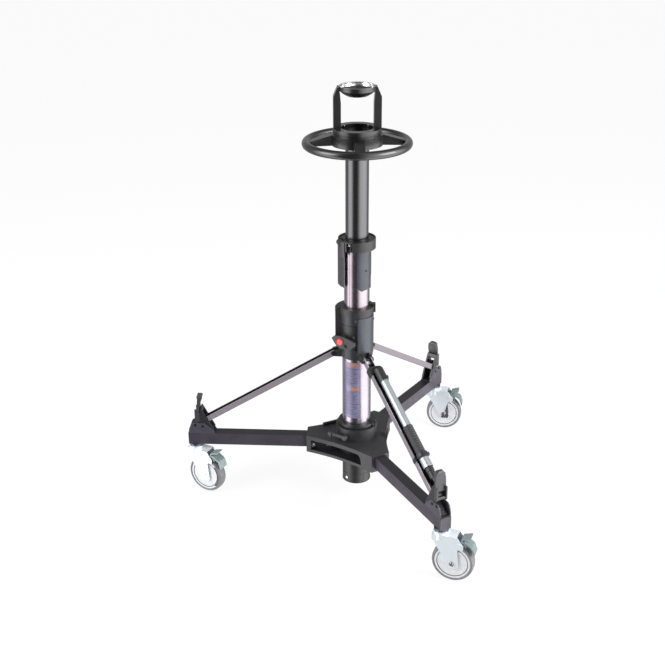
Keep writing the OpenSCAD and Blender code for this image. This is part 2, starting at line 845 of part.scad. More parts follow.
module lock_button() {
  x1 = lock_face + 9;
  color([0.80, 0.16, 0.14])
    at_az(lock_az)
      translate([0, button_y, button_z])
        difference() {
          bar_x(button_r, x1 - 3.2, x1 + 3.6);
          bar_x(5.4, x1 - 4, x1 - 0.5);
          bar_x(button_r - 3, x1 + 3, x1 + 4);
        }
}

// The button's small return spring, a coil of round wire
module button_spring() {
  x0 = lock_face + 2.05;
  turns = 3;
  length = 5.9;
  steps = 10;
  coil_r = 4;
  wire_r = 0.35;
  rings = turns * steps;
  points = [for (i = [0:rings], j = [0:4])
    let (t = i * 360 / steps, u = j * 72, s = i / rings)
    [wire_r + s * (length - 2 * wire_r) + wire_r * sin(u) * 0.98, (coil_r + wire_r * cos(u)) * cos(t),
      (coil_r + wire_r * cos(u)) * sin(t)]];
  sides = [for (i = [0:rings - 1], j = [0:4])
    let (a = i * 5 + j, b = i * 5 + (j + 1) % 5)
    [a, a + 5, b + 5, b]];
  color([0.70, 0.70, 0.72])
    at_az(lock_az)
      translate([x0, button_y, button_z])
        polyhedron(points, concat([[0, 1, 2, 3, 4]], sides, [[for (j = [4:-1:0]) rings * 5 + j]]));
}

// Azimuth of the key groove down the middle tube
key_az = -122;
mid_tube_top = up_collar_z + 20;
mid_tube_bottom = 205;

module mid_tube() {
  color([0.42, 0.37, 0.42])
    difference() {
      union() {
        tube(mid_tube_r, mid_tube_r - tube_wall, mid_tube_bottom, mid_tube_top);
        disc(mid_tube_r - 1, mid_tube_bottom, mid_tube_bottom + 4);
      }
      at_az(key_az)
        block([mid_tube_r - 0.9, -0.8, mid_tube_bottom + 30], [mid_tube_r + 1, 0.8, up_collar_z - 4]);
    }
}

module mid_guide_ring() {
  color([0.85, 0.83, 0.76])
    tube(base_tube_r - tube_wall - run, mid_tube_r, mid_tube_bottom + 2, mid_tube_bottom + 24);
}

split_az = -104;
stage_az = -160;
stage_pivot_x = 52;
stage_pivot_z = up_collar_z + 18;
stage_half = 13;
// The ring's clamp bolt: its distance from the axis, its height, and the open pocket for its head
clamp_bolt_x = 51;
clamp_bolt_z = up_collar_z + 21.5;
clamp_pocket_y = [-17, -5];
ring_floor_z = up_collar_top - 2.5;
// The plate on the ring's outer face beside the cam lever
side_plate_az = [-146, -128];

module upper_collar() {
  color([0.24, 0.24, 0.26])
    difference() {
      union() {
        disc(up_collar_r, up_collar_z, up_collar_top);
        tube_sector(up_collar_r + 2.2, up_collar_r - 2.8, up_collar_z, up_collar_top - 2.4, side_plate_az[0],
          side_plate_az[1]);
        tube_sector(up_collar_r + 2.2, up_collar_r - 0.6, up_collar_z - 21, up_collar_z + 1, side_plate_az[0],
          side_plate_az[1]);
      }
      disc(mid_tube_r, up_collar_z - 22, mid_tube_top);
      disc(mid_tube_r - 0.5, mid_tube_top - 1, up_collar_top + 1);
      disc(up_collar_r - 3.8, ring_floor_z, up_collar_top + 1);
      at_az(split_az) {
        block([mid_tube_r - 2, -1.2, up_collar_z - 1], [up_collar_r + 6, 1.2, up_collar_top + 1]);
        block([mid_tube_r + 5, clamp_pocket_y[0], up_collar_z - 1],
          [up_collar_r + 6, clamp_pocket_y[1], ring_floor_z - 1.5]);
        translate([clamp_bolt_x, 0, clamp_bolt_z])
          bar_y(3.2, clamp_pocket_y[1] - 1, 14);
      }
      at_az(stage_az) {
        block([stage_pivot_x - 10, -stage_half - gap, up_collar_z - 1],
          [up_collar_r + 8, stage_half + gap, up_collar_top + 1]);
        translate([stage_pivot_x, 0, stage_pivot_z])
          bar_y(3 + run, -stage_half - 8, stage_half + 8);
      }
      for (a = shield_screw_az)
        at_az(a)
          translate([mid_tube_r + 2.6, 0, up_collar_z - 1])
            cylinder(r = 1.2, h = 10);
    }
}

module upper_bush() {
  color([0.14, 0.14, 0.15])
    tube(mid_tube_r - 0.5, top_tube_r + run, mid_tube_top + 0.2, up_collar_top - 1);
}

shield_screw_az = [-60, -15];
shield_az = [-88, 6];
shield_ri = mid_tube_r + 0.5;
shield_ro = mid_tube_r + 4.4;
shield_tip_az = -69;

module collar_shield() {
  tip_z = up_collar_z - 129;
  color([0.40, 0.42, 0.44])
    difference() {
      tube_sector(shield_ro, shield_ri, tip_z, up_collar_z, shield_az[0], shield_az[1]);
      at_az(shield_tip_az)
        translate([0, 0, tip_z]) {
          rotate([12, 0, 0])
            block([30, 0, -40], [70, 14.5, 0]);
          rotate([-37, 0, 0])
            block([30, -30, -40], [70, 0, 0]);
        }
      tube_sector(shield_ro + 5, shield_ri - 5, tip_z - 1, tip_z + 3, shield_tip_az + 18.4, shield_az[1] + 5);
      at_az(shield_az[1])
        block([30, -12, tip_z - 1], [70, 12, up_collar_z - 86]);
      at_az(-48)
        translate([0, 0, up_collar_z - 65])
          bar_x(1.6, 30, 60);
      for (a = shield_screw_az)
        at_az(a)
          translate([mid_tube_r + 2.6, 0, up_collar_z - 9])
            cylinder(r = 1.2, h = 10);
    }
}

module upper_collar_bolts() {
  color([0.78, 0.78, 0.80]) {
    at_az(split_az)
      translate([clamp_bolt_x, 0, clamp_bolt_z]) {
        bar_y(3, clamp_pocket_y[1] - 2, 13);
        bar_y(4.6, clamp_pocket_y[1] - 4.5, clamp_pocket_y[1] - 0.05);
      }
    at_az(stage_az)
      translate([stage_pivot_x, 0, stage_pivot_z])
        bar_y(3, -stage_half - 6, stage_half + 6);
    at_az(-48)
      translate([0, 0, up_collar_z - 65]) {
        bar_x(1.5, mid_tube_r + 0.2, shield_ro + 0.6);
        bar_x(3, shield_ro + 0.05, shield_ro + 1.4);
      }
    for (a = shield_screw_az)
      at_az(a)
        translate([mid_tube_r + 2.6, 0, up_collar_z - 9])
          cylinder(r = 1.15, h = 16);
  }
}

// The cam lever that hangs beside the middle tube
module stage_lever() {
  bottom = up_collar_z - 123;
  color([0.22, 0.22, 0.25])
    at_az(stage_az)
      difference() {
        side_plate(-stage_half, stage_half)
          union() {
            polygon([[44.5, bottom], [57, bottom + 8], [57, stage_pivot_z - 4],
              [stage_pivot_x, stage_pivot_z + 9], [stage_pivot_x - 5, stage_pivot_z - 7], [44.5, up_collar_z - 4]]);
            translate([stage_pivot_x, stage_pivot_z])
              circle(r = 9.5);
          }
        translate([stage_pivot_x, 0, stage_pivot_z])
          bar_y(3 + run, -stage_half - 1, stage_half + 1);
        block([40, -stage_half + 3, bottom + 22], [54, stage_half - 3, up_collar_z - 12]);
      }
}

/* Moving column and head */

top_tube_bottom = 500;
top_tube_top = head_z + 26;

module piston() {
  bore = mid_tube_r - tube_wall;
  color([0.62, 0.62, 0.64])
    difference() {
      union() {
        disc(bore - run, top_tube_bottom - 24, top_tube_bottom - gap);
        disc(top_tube_r - tube_wall - run, top_tube_bottom - 1, top_tube_bottom + 30);
      }
      tube(bore + 1, bore - 3.2, top_tube_bottom - 15, top_tube_bottom - 10);
      disc(12, top_tube_bottom - 16, top_tube_bottom + 31);
    }
}

module piston_seal() {
  bore = mid_tube_r - tube_wall;
  color([0.10, 0.10, 0.10])
    tube(bore - run, bore - 3.2, top_tube_bottom - 14.9, top_tube_bottom - 10.1);
}

module upper_tube() {
  color([0.08, 0.08, 0.09])
    tube(top_tube_r, top_tube_r - tube_wall, top_tube_bottom, top_tube_top);
}

module at_head() {
  rotate([0, 0, head_turn])
    children();
}

module steering_wheel() {
  ring_z = head_z + 4;
  color([0.07, 0.07, 0.08])
    at_head()
      difference() {
        union() {
          translate([0, 0, ring_z])
            rotate_extrude($fn = 180)
              translate([ring_r, 0])
                circle(r = ring_bar_r, $fn = 48);
          disc(wheel_hub_r, head_z, wheel_hub_top);
          for (a = [0, 90, 180, 270])
            at_az(a)
              side_plate(-15, 15)
                polygon([[50, head_z], [50, wheel_hub_top - 2], [wheel_hub_r, wheel_hub_top - 2],
                  [ring_r - 8, ring_z + 7], [ring_r - 4, ring_z - 6], [wheel_hub_r, head_z]]);
        }
        disc(top_tube_r + run, head_z - 1, top_tube_top);
        disc(28, top_tube_top - 1, wheel_hub_top + 1);
        tube(wheel_hub_r - 5, 56, wheel_hub_top - 3, wheel_hub_top + 1);
        for (a = [45, 135, 225, 315])
          at_az(a)
            translate([51, 0, 0])
              disc(2.5, head_z + 6, wheel_hub_top + 1);
      }
}

fork_in = bowl_r - 2.5;
fork_out = fork_in + 21.5;
fork_base_h = 17;
bowl_wall = 3.2;

module head_fork() {
  z0 = wheel_hub_top;
  z1 = z0 + fork_base_h;
  top = bowl_top_z - 2;
  color([0.07, 0.07, 0.08])
    at_head()
      difference() {
        union() {
          tube(fork_out + 0.5, fork_in - 0.5, z0, z1);
          for (a = [0, 180])
            at_az(a)
              side_plate(-15, 15)
                polygon([[fork_in, z1 - 5], [fork_out, z1 - 5], [fork_out, top - 28], [fork_out - 12, top],
                  [fork_in + 4, top], [fork_in, top - 46]]);
        }
        disc(bowl_r + bowl_wall, bowl_top_z - bowl_band_h - 6, top + 3);
        for (a = [45, 135, 225, 315])
          at_az(a)
            translate([51, 0, 0]) {
              disc(3.2, z0 - 1, z1 + 1);
              disc(5.6, z1 - 6, z1 + 1);
            }
        for (a = [0, 180])
          at_az(a)
            translate([0, 0, bowl_top_z - 10]) {
              for (y = [-8, 8])
                translate([0, y, 0])
                  bar_x(2.2, bowl_r, fork_out + 1);
            }
      }
}

module bowl() {
  rim = bowl_r + bowl_wall;
  t = bowl_top_z;
  dish_z = t + sqrt(pow(bowl_dish_r, 2) - pow(rim, 2)) - bowl_band_h;
  color([0.09, 0.09, 0.10])
    at_head()
      difference() {
        intersection() {
          disc(rim, t - bowl_r, t);
          translate([0, 0, dish_z])
            sphere(r = bowl_dish_r, $fn = 180);
        }
        intersection() {
          translate([0, 0, t])
            sphere(r = bowl_r, $fn = 180);
          translate([0, 0, dish_z])
            sphere(r = bowl_dish_r - bowl_wall, $fn = 180);
        }
        disc(bowl_hole_r, t - bowl_r, t);
        for (a = [0, 180])
          at_az(a)
            for (y = [-8, 8])
              translate([0, y, t - 10])
                bar_x(1.9, bowl_r - 3, rim + 2);
      }
}

module head_screws() {
  z1 = wheel_hub_top + fork_base_h;
  color([0.20, 0.20, 0.21])
    at_head() {
      for (a = [45, 135, 225, 315])
        at_az(a)
          translate([51, 0, 0]) {
            disc(2.45, wheel_hub_top - 14, z1 - 5);
            disc(5, z1 - 6, z1 - 1);
          }
      for (a = [0, 180], y = [-8, 8])
        at_az(a)
          translate([0, y, bowl_top_z - 10])
            bar_x(1.85, bowl_r + 0.7, bowl_r + 9);
    }
}

/* Braces */

// Puts X along a brace from its hinge pin, with Z square to it and upward
module at_brace(k) {
  at_arm(k)
    translate([brace_pin_r, 0, brace_pin_z])
      rotate([0, brace_slope, 0])
        children();
}

module brace(k) {
  half_w = brace_w / 2;
  half_d = brace_d / 2;
  flange_end = brace_len - tongue_len;
  color([0.48, 0.45, 0.50])
    at_brace(k)
      difference() {
        union() {
          side_pair(half_w - brace_wall, half_w)
            union() {
              translate([0, -half_d])
                square([flange_end, brace_d]);
              circle(r = half_d);
            }
          block([12, -half_w + 1, -half_d], [flange_end, half_w - 1, -half_d + brace_wall]);
          block([flange_end - 1, -tongue_half, -half_d], [brace_len - tongue_half, tongue_half, -half_d + brace_wall]);
          translate([brace_len - tongue_half, 0, 0])
            disc(tongue_half, -half_d, -half_d + brace_wall);
        }
        bar_y(pin_r + run, -half_w - 1, half_w + 1);
      }
}

// The brace's flanges end inside the shoe, and its web goes on as a round-ended tongue
tongue_len = 48;
tongue_half = 7.5;

// Pivot of the clamp lever, above the bracket
lever_x = arm_end_r - 32;
lever_z = arm_top_z + 48;
lever_pin_r = 3;
shoe_y1 = 17.5;
lug_half = 13.4;

// Where the top of a brace passes at a distance from the axis
function brace_over(x, clear) =
  brace_pin_z - (x - brace_pin_r) * tan(brace_slope) + (brace_d / 2 + clear) / cos(brace_slope);

// The black shoe round the brace's foot: two cheeks, a bridge above, a web below and the lever's lug
module brace_shoe(k) {
  apex_x = arm_end_r - 46.5;
  apex_z = arm_top_z + 89;
  front_x = lever_x - 9;
  seat_z = cheek_top + 0.8;
  color([0.13, 0.13, 0.14])
    at_arm(k)
      difference() {
        union() {
          side_pair(brace_w / 2, shoe_y1)
            polygon([[apex_x, apex_z], [bracket_in + 3, arm_top_z + 13], [bracket_in + 4.6, arm_top_z + 13.5],
              [bracket_in + 33.5, seat_z], [front_x, seat_z], [front_x, apex_z - 18], [apex_x + 3.5, apex_z]]);
          side_plate(-shoe_y1, shoe_y1)
            polygon([[apex_x - 5, apex_z - 9.7], [apex_x, apex_z], [apex_x + 3.5, apex_z], [front_x, apex_z - 18]]);
          side_plate(-lug_half, lug_half)
            union() {
              polygon([[front_x - 9, brace_over(front_x - 9, 0.3)], [front_x - 9, lever_z + 20],
                [lever_x - 3, lever_z + 6], [lever_x, lever_z], [lever_x - 5, lever_z - 2.5]]);
              translate([lever_x, lever_z])
                circle(r = 6.5);
            }
        }
        translate([lever_x, 0, lever_z])
          bar_y(lever_pin_r + run, -20, 20);
      }
}

// The grey lever: a hood between a rolled top and two legs, with its pivot pin
module clamp_lever(k) {
  x = lever_x;
  z = lever_z;
  hood_r = 14.5;
  hood_z = z + 88 - hood_r;
  color([0.40, 0.40, 0.42])
    at_arm(k)
      difference() {
        union() {
          intersection() {
            union() {
              side_plate(-shoe_y1, shoe_y1)
                polygon([[x - 8, z + 22], [x - 1, z + 22], [x - 2, z + 63], [x - 3, z + 76], [x - 15, z + 74],
                  [x - 13.5, z + 61], [x - 8, z + 48]]);
              side_plate(-shoe_y1, shoe_y1)
                translate([x - 9.5, z + 79.5])
                  circle(r = 8.5);
            }
            translate([x - 30, 0, 0])
              rotate([90, 0, 90])
                linear_extrude(height = 50)
                  union() {
                    polygon([[-shoe_y1, z], [shoe_y1, z], [shoe_y1, z + 52], [hood_r + 1.6, hood_z - 4],
                      [hood_r, hood_z], [-hood_r, hood_z], [-hood_r - 1.6, hood_z - 4], [-shoe_y1, z + 52]]);
                    translate([0, hood_z])
                      circle(r = hood_r);
                  }
          }
          side_pair(lug_half + gap, shoe_y1)
            union() {
              polygon([[x - 8, z], [x - 8, z + 40], [x - 2, z + 40], [x - 1, z + 37], [x + 7.5, z + 37],
                [x + 7.5, z + 2], [x, z - 3]]);
              translate([x, z])
                circle(r = 8);
            }
        }
        translate([x, 0, z])
          bar_y(lever_pin_r + 0.01, -20, 20);
      }
  color([0.65, 0.65, 0.67])
    at_arm(k)
      translate([x, 0, z])
        bar_y(lever_pin_r, -shoe_y1 - 1, shoe_y1 + 1);
}

/* Hand pump on the front brace */

pump_y = 6.5;
pump_rise = brace_d / 2 + 14.5;
pump_top = 92;
pump_inside = pump_grip_t + 34;
ferrule_t = pump_grip_t + pump_grip_len;
ferrule_len = 31;
pump_end_t = ferrule_t + ferrule_len;
plunger_t = pump_top + 112;

module at_pump() {
  at_brace(1)
    translate([0, pump_y, pump_rise])
      children();
}

module pump_tube() {
  color([0.80, 0.82, 0.83])
    at_pump()
      difference() {
        bar_x(pump_tube_r, pump_top, pump_inside);
        bar_x(pump_tube_r - 1.2, pump_top + 3, pump_inside + 1);
      }
}

// The black end piece that caps the pump's tube and clips round the brace
module pump_head() {
  cap_r = pump_tube_r + 2.4;
  color([0.10, 0.10, 0.11]) {
    at_pump()
      difference() {
        union() {
          bar_x(cap_r, 58, pump_top + 8);
          translate([58, 0, 0])
            sphere(r = cap_r);
          block([pump_top - 10, cap_r - 2, -4], [pump_top, cap_r + 3.5, 4]);
        }
        bar_x(pump_tube_r, pump_top, pump_top + 10);
      }
    at_brace(1)
      difference() {
        union() {
          block([34, -brace_w / 2 - 3, -brace_d / 2 - 3], [60, brace_w / 2 + 3, brace_d / 2 + 4]);
          block([40, pump_y - 8, brace_d / 2 + 3], [60, pump_y + 8, brace_d / 2 + 8]);
        }
        block([30, -brace_w / 2, -brace_d / 2], [64, brace_w / 2, brace_d / 2]);
      }
  }
}

// The strap clip that holds the pump's grip to the brace
module pump_clip() {
  t0 = ferrule_t - 17;
  t1 = ferrule_t - 5;
  strap_r = pump_grip_r + 2.6;
  color([0.14, 0.14, 0.15])
    at_brace(1)
      difference() {
        union() {
          translate([0, pump_y, pump_rise])
            bar_x(strap_r, t0, t1);
          block([t0, -brace_w / 2 - 2, -brace_d / 2 + 2], [t1, brace_w / 2 + 2, brace_d / 2 + 5]);
          block([t0 + 1, pump_y + strap_r - 2, pump_rise - 5], [t1 - 1, pump_y + strap_r + 4, pump_rise + 5]);
        }
        translate([0, pump_y, pump_rise])
          bar_x(pump_grip_r + gap, t0 - 1, t1 + 1);
        block([t0 - 1, -brace_w / 2, -brace_d / 2], [t1 + 1, brace_w / 2, brace_d / 2]);
      }
}

module pump_grip() {
  ribs = 13;
  pitch = (pump_grip_len - 9) / ribs;
  color([0.12, 0.12, 0.13])
    at_pump()
      translate([pump_grip_t, 0, 0])
        rotate([0, 90, 0])
          rotate_extrude()
            polygon(concat([[pump_tube_r + run, 0], [pump_grip_r - 1.5, 0], [pump_grip_r, 2]],
              [for (i = [0:ribs - 1], s = [[0.35, 0], [0.5, -1.1], [0.85, -1.1], [1, 0]])
                [pump_grip_r + s[1], 3 + (i + s[0]) * pitch]],
              [[pump_grip_r, pump_grip_len], [pump_tube_r + run, pump_grip_len]]));
}

// The ferrule and end below the grip, with the plunger rod that runs up inside the pump's tube
module pump_end() {
  shell_r = pump_grip_r - 0.4;
  color([0.78, 0.79, 0.80])
    at_pump()
      difference() {
        union() {
          bar_x(shell_r, ferrule_t, pump_end_t);
          bar_x(11, pump_end_t - 0.5, pump_end_t + 36);
          bar_x(12.5, pump_end_t + 4, pump_end_t + 14);
        }
        bar_x(pump_tube_r + run, ferrule_t - 1, pump_end_t - 4);
        bar_x(4 + run, pump_end_t - 5, pump_end_t + 10);
      }
  color([0.70, 0.70, 0.72])
    at_pump() {
      bar_x(4, plunger_t + 3, pump_end_t + 9.9);
      bar_x(pump_tube_r - 1.25, plunger_t, plunger_t + 8);
    }
}

hub_casting();
hub_clamp_ring();
hub_lever();
arm(0);  // arm_left
arm(1);  // arm_front
arm(2);  // arm_back
arm_end_caps();
arm_brackets();
dolly_bolts();
base_tube();
base_foot_cap();
air_valve();
lower_collar();
lower_bush();
collar_cover();
collar_fasteners();
lock_lever();
lock_button();
button_spring();
mid_tube();
mid_guide_ring();
upper_collar();
upper_bush();
collar_shield();
upper_collar_bolts();
stage_lever();
piston();
piston_seal();
upper_tube();
steering_wheel();
head_fork();
bowl();
head_screws();
brace(0);  // brace_left
brace(1);  // brace_front
brace(2);  // brace_back
brace_shoe(0);  // brace_shoe_left
brace_shoe(1);  // brace_shoe_front
brace_shoe(2);  // brace_shoe_back
clamp_lever(0);  // clamp_lever_left
clamp_lever(1);  // clamp_lever_front
clamp_lever(2);  // clamp_lever_back
pump_tube();
pump_head();
pump_clip();
pump_grip();
pump_end();
caster_stems();
caster_fork(0);  // caster_fork_left
caster_fork(1);  // caster_fork_front
caster_fork(2);  // caster_fork_back
tyre(0);  // tyre_left
tyre(1);  // tyre_front
tyre(2);  // tyre_back
wheel_centre(0);  // wheel_centre_left
wheel_centre(1);  // wheel_centre_front
wheel_centre(2);  // wheel_centre_back
brake_pedal(0);  // brake_pedal_left
brake_pedal(1);  // brake_pedal_front
brake_pedal(2);  // brake_pedal_back
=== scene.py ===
# %% [markdown]
# A camera pedestal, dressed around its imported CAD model
#
# The real object is a studio stand: a telescoping column on a dolly with three rolling arms, held up by
# three folding braces, with a steering ring and a bowl for the camera head on top. The CAD model already
# holds every piece at its true size and place, so this lesson gives the pieces their rounded edges,
# their fine detail and their finish. Everything is in metres, in the CAD model's own frame.

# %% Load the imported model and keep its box
import json
import math

import bmesh
import bpy
from mathutils import Matrix, Vector


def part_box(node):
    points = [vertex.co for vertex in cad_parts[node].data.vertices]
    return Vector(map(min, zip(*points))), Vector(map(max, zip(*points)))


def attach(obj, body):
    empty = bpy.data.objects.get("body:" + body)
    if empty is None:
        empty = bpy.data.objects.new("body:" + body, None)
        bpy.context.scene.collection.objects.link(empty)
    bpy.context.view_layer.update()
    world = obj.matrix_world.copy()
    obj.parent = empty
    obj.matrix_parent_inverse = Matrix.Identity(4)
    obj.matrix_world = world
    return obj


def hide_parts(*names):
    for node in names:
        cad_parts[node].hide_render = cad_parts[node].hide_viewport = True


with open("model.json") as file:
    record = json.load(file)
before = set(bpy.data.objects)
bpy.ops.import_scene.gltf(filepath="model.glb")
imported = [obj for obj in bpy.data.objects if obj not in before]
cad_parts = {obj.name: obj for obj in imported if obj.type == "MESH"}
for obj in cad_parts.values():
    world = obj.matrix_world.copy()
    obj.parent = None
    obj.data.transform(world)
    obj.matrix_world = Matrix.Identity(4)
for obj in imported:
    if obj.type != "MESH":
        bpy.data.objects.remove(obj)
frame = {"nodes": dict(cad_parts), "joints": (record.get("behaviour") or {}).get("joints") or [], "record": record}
nodes = frame["nodes"]
record = frame["record"]
body_of_node = {n: b for b, members in record["behaviour"]["bodies"].items() for n in members}
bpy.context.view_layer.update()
scene = bpy.context.scene
MM = 0.001

# %% [markdown]
# The camera
#
# A photograph fixes its own camera: the three equal arms and the round collars show how far away it
# stood, how much it looked down and how long its lens was. The numbers below were worked out that way.
# The camera's three directions become the columns of its matrix, and FRAME_TURN turns them all from the
# photograph's own frame into the CAD model's, whose left arm lies along -X.

# %% Place the camera
CAMERA_PLACE = Vector((0.1227, -3.1657, 1.9825))
CAMERA_PITCH = math.radians(24.05)
CAMERA_PAN = math.radians(-1.36)
CAMERA_ROLL = math.radians(-0.41)
FRAME_TURN = math.radians(2.22)
LENS_MM = 60.52
SENSOR_MM = 36.0

forward = Vector((math.sin(CAMERA_PAN) * math.cos(CAMERA_PITCH),
                  math.cos(CAMERA_PAN) * math.cos(CAMERA_PITCH), -math.sin(CAMERA_PITCH)))
level_right = Vector((math.cos(CAMERA_PAN), -math.sin(CAMERA_PAN), 0.0))
level_up = level_right.cross(forward)
camera_right = level_right * math.cos(CAMERA_ROLL) + level_up * math.sin(CAMERA_ROLL)
camera_up = -level_right * math.sin(CAMERA_ROLL) + level_up * math.cos(CAMERA_ROLL)
turn = Matrix.Rotation(FRAME_TURN, 3, "Z")
axes = Matrix((turn @ camera_right, turn @ camera_up, turn @ -forward)).transposed()
camera_data = bpy.data.cameras.new("photo_camera")
camera_data.lens = LENS_MM
camera_data.sensor_width = SENSOR_MM
camera = bpy.data.objects.new("photo_camera", camera_data)
camera.matrix_world = Matrix.Translation(CAMERA_PLACE) @ axes.to_4x4()
scene.collection.objects.link(camera)
scene.camera = camera
print("camera looks down", round(math.degrees(CAMERA_PITCH), 1), "degrees")

# %% [markdown]
# Materials: one function for colours, one for nodes
#
# A colour chosen on a screen is in sRGB, but a renderer adds light in linear numbers, so each hex value
# is turned to linear first. Node trees are built with a single function that makes a node, sets it up
# and links it, which keeps every recipe short enough to read.

# %% Colour and node helpers


def linear(hex_colour):
    """An sRGB hex colour as linear RGBA."""
    values = []
    for i in (0, 2, 4):
        c = int(hex_colour[i:i + 2], 16) / 255
        values.append(c / 12.92 if c <= 0.04045 else ((c + 0.055) / 1.055) ** 2.4)
    return (*values, 1.0)


def add_node(tree, kind, inputs=None, **settings):
    """Adds a node, sets its properties, and fills or links its inputs."""
    made = tree.nodes.new(kind)
    for name, value in settings.items():
        setattr(made, name, value)
    for socket, value in (inputs or {}).items():
        if isinstance(value, bpy.types.NodeSocket):
            tree.links.new(value, made.inputs[socket])
        else:
            made.inputs[socket].default_value = value
    return made


def new_material(name, colour, metallic=0.0, roughness=0.5, **extra):
    """A material with one Principled shader. Returns it with its tree, shader and Object coordinates."""
    material = bpy.data.materials.new(name)
    material.use_nodes = True
    tree = material.node_tree
    shader = tree.nodes["Principled BSDF"]
    shader.inputs["Base Color"].default_value = linear(colour)
    shader.inputs["Metallic"].default_value = metallic
    shader.inputs["Roughness"].default_value = roughness
    for socket, value in extra.items():
        shader.inputs[socket.replace("_", " ")].default_value = value
    material.diffuse_color = linear(colour)
    place = add_node(tree, "ShaderNodeTexCoord").outputs["Object"]
    return material, tree, shader, place


print("mid grey in linear numbers", round(linear("808080")[0], 3))

# %% [markdown]
# Three ways a flat colour comes alive
#
# No real surface is one number. Paint has slightly darker and lighter patches, handling changes how
# sharply a surface mirrors, and casting or spraying leaves a grain. Each helper drives one of these
# from noise whose patch or grain size is given in millimetres.

# %% Patches, handling and grain
PATCH_EDGES = (0.35, 0.65)
DRAWN = (1, 1, 0.014)


def vary_colour(tree, shader, place, low, high, size_mm):
    """Mottles the base colour between two hex values, in patches of about size_mm."""
    noise = add_node(tree, "ShaderNodeTexNoise", {"Vector": place, "Scale": 1000 / size_mm, "Detail": 3.0})
    ramp = add_node(tree, "ShaderNodeValToRGB", {"Fac": noise.outputs["Fac"]})
    for element, edge, colour in zip(ramp.color_ramp.elements, PATCH_EDGES, (low, high)):
        element.position = edge
        element.color = linear(colour)
    tree.links.new(ramp.outputs["Color"], shader.inputs["Base Color"])


def vary_roughness(tree, shader, place, low, high, size_mm):
    """Lets the gloss wander between two roughness values, in patches of about size_mm."""
    noise = add_node(tree, "ShaderNodeTexNoise", {"Vector": place, "Scale": 1000 / size_mm, "Detail": 4.0})
    spread = add_node(tree, "ShaderNodeMapRange", {"Value": noise.outputs["Fac"], "To Min": low,
                                                   "To Max": high})
    tree.links.new(spread.outputs["Result"], shader.inputs["Roughness"])


def add_grain(tree, shader, place, grain_mm, depth_mm, strength=0.4, stretch=(1, 1, 1)):
    """Raises a grain of grain_mm. A stretch below 1 draws it out along that axis, as DRAWN does along Z."""
    scale = [1000 / grain_mm * s for s in stretch]
    mapped = add_node(tree, "ShaderNodeMapping", {"Vector": place, "Scale": scale})
    noise = add_node(tree, "ShaderNodeTexNoise", {"Vector": mapped.outputs["Vector"], "Scale": 1.0,
                                                  "Detail": 2.0})
    bump = add_node(tree, "ShaderNodeBump", {"Height": noise.outputs["Fac"], "Distance": depth_mm * MM,
                                             "Strength": strength})
    tree.links.new(bump.outputs["Normal"], shader.inputs["Normal"])


print("drawn grain is", round(1 / DRAWN[2]), "times as long as wide")

# %% [markdown]
# Enamel and anodised tubes
#
# The steering ring, fork and bowl are dipped in gloss black enamel, which mirrors the studio in a clear
# coat. The column's tubes are drawn aluminium: pulling them through a die leaves hair-fine lines along
# their length, so the grain is drawn out along Z. Anodising tints them mauve and black.

# %% Enamel and tube finishes
black_enamel, tree, shader, place = new_material("gloss_black_enamel", "111112", 0.0, 0.3, Coat_Weight=0.35,
                                                 Coat_Roughness=0.1)
vary_roughness(tree, shader, place, 0.27, 0.36, 14)
black_anodised, tree, shader, place = new_material("black_anodised_aluminium", "5a595b", 0.95, 0.24)
add_grain(tree, shader, place, 1.1, 0.02, 0.4, DRAWN)
mauve_anodised, tree, shader, place = new_material("mauve_anodised_aluminium", "958b93", 1.0, 0.25)
vary_colour(tree, shader, place, "90868e", "9a9098", 60)
add_grain(tree, shader, place, 1.1, 0.02, 0.4, DRAWN)
lilac_anodised, tree, shader, place = new_material("lilac_anodised_aluminium", "978f99", 1.0, 0.27)
vary_colour(tree, shader, place, "928a94", "9c949e", 60)
add_grain(tree, shader, place, 1.1, 0.02, 0.4, DRAWN)
brace_anodised, tree, shader, place = new_material("grey_anodised_channel", "837b83", 0.15, 0.45)
vary_roughness(tree, shader, place, 0.4, 0.5, 30)
# Painted highlight: this bright colour on the tops of the braces' flanges stands in for the light their edges
# catch.
flange_painted_highlight, tree, shader, place = new_material("flange_top_painted_highlight", "c9c5cb", 0.6, 0.34)
vary_roughness(tree, shader, place, 0.25, 0.38, 9)
# Painted shade: this black inside the braces' channels stands in for the shade there.
channel_painted_shade, tree, shader, place = new_material("channel_inside_painted_shade", "1c1a1b", 0.1, 0.5)
add_grain(tree, shader, place, 2.0, 0.03, 0.3)
print("tube finishes ready")

# %% [markdown]
# Coated castings
#
# Powder coat is sprayed as dry plastic and baked, so it pulls into a fine orange peel of about 2 mm that
# breaks up every highlight. The hub, the collars and the small levers are cast and coated this way. The
# arms are square tube in a smoother satin coat, and their tops are painted black as shade, where the
# light falls along them.

# %% Coated finishes
hub_coat, tree, shader, place = new_material("charcoal_powder_coat", "232224", 0.0, 0.5)
vary_colour(tree, shader, place, "212023", "272629", 22)
add_grain(tree, shader, place, 2.2, 0.2, 0.3)
arm_coat, tree, shader, place = new_material("dark_satin_anodising", "47434d", 0.45, 0.42)
vary_colour(tree, shader, place, "443f4a", "4c4852", 45)
add_grain(tree, shader, place, 1.4, 0.03, 0.3)
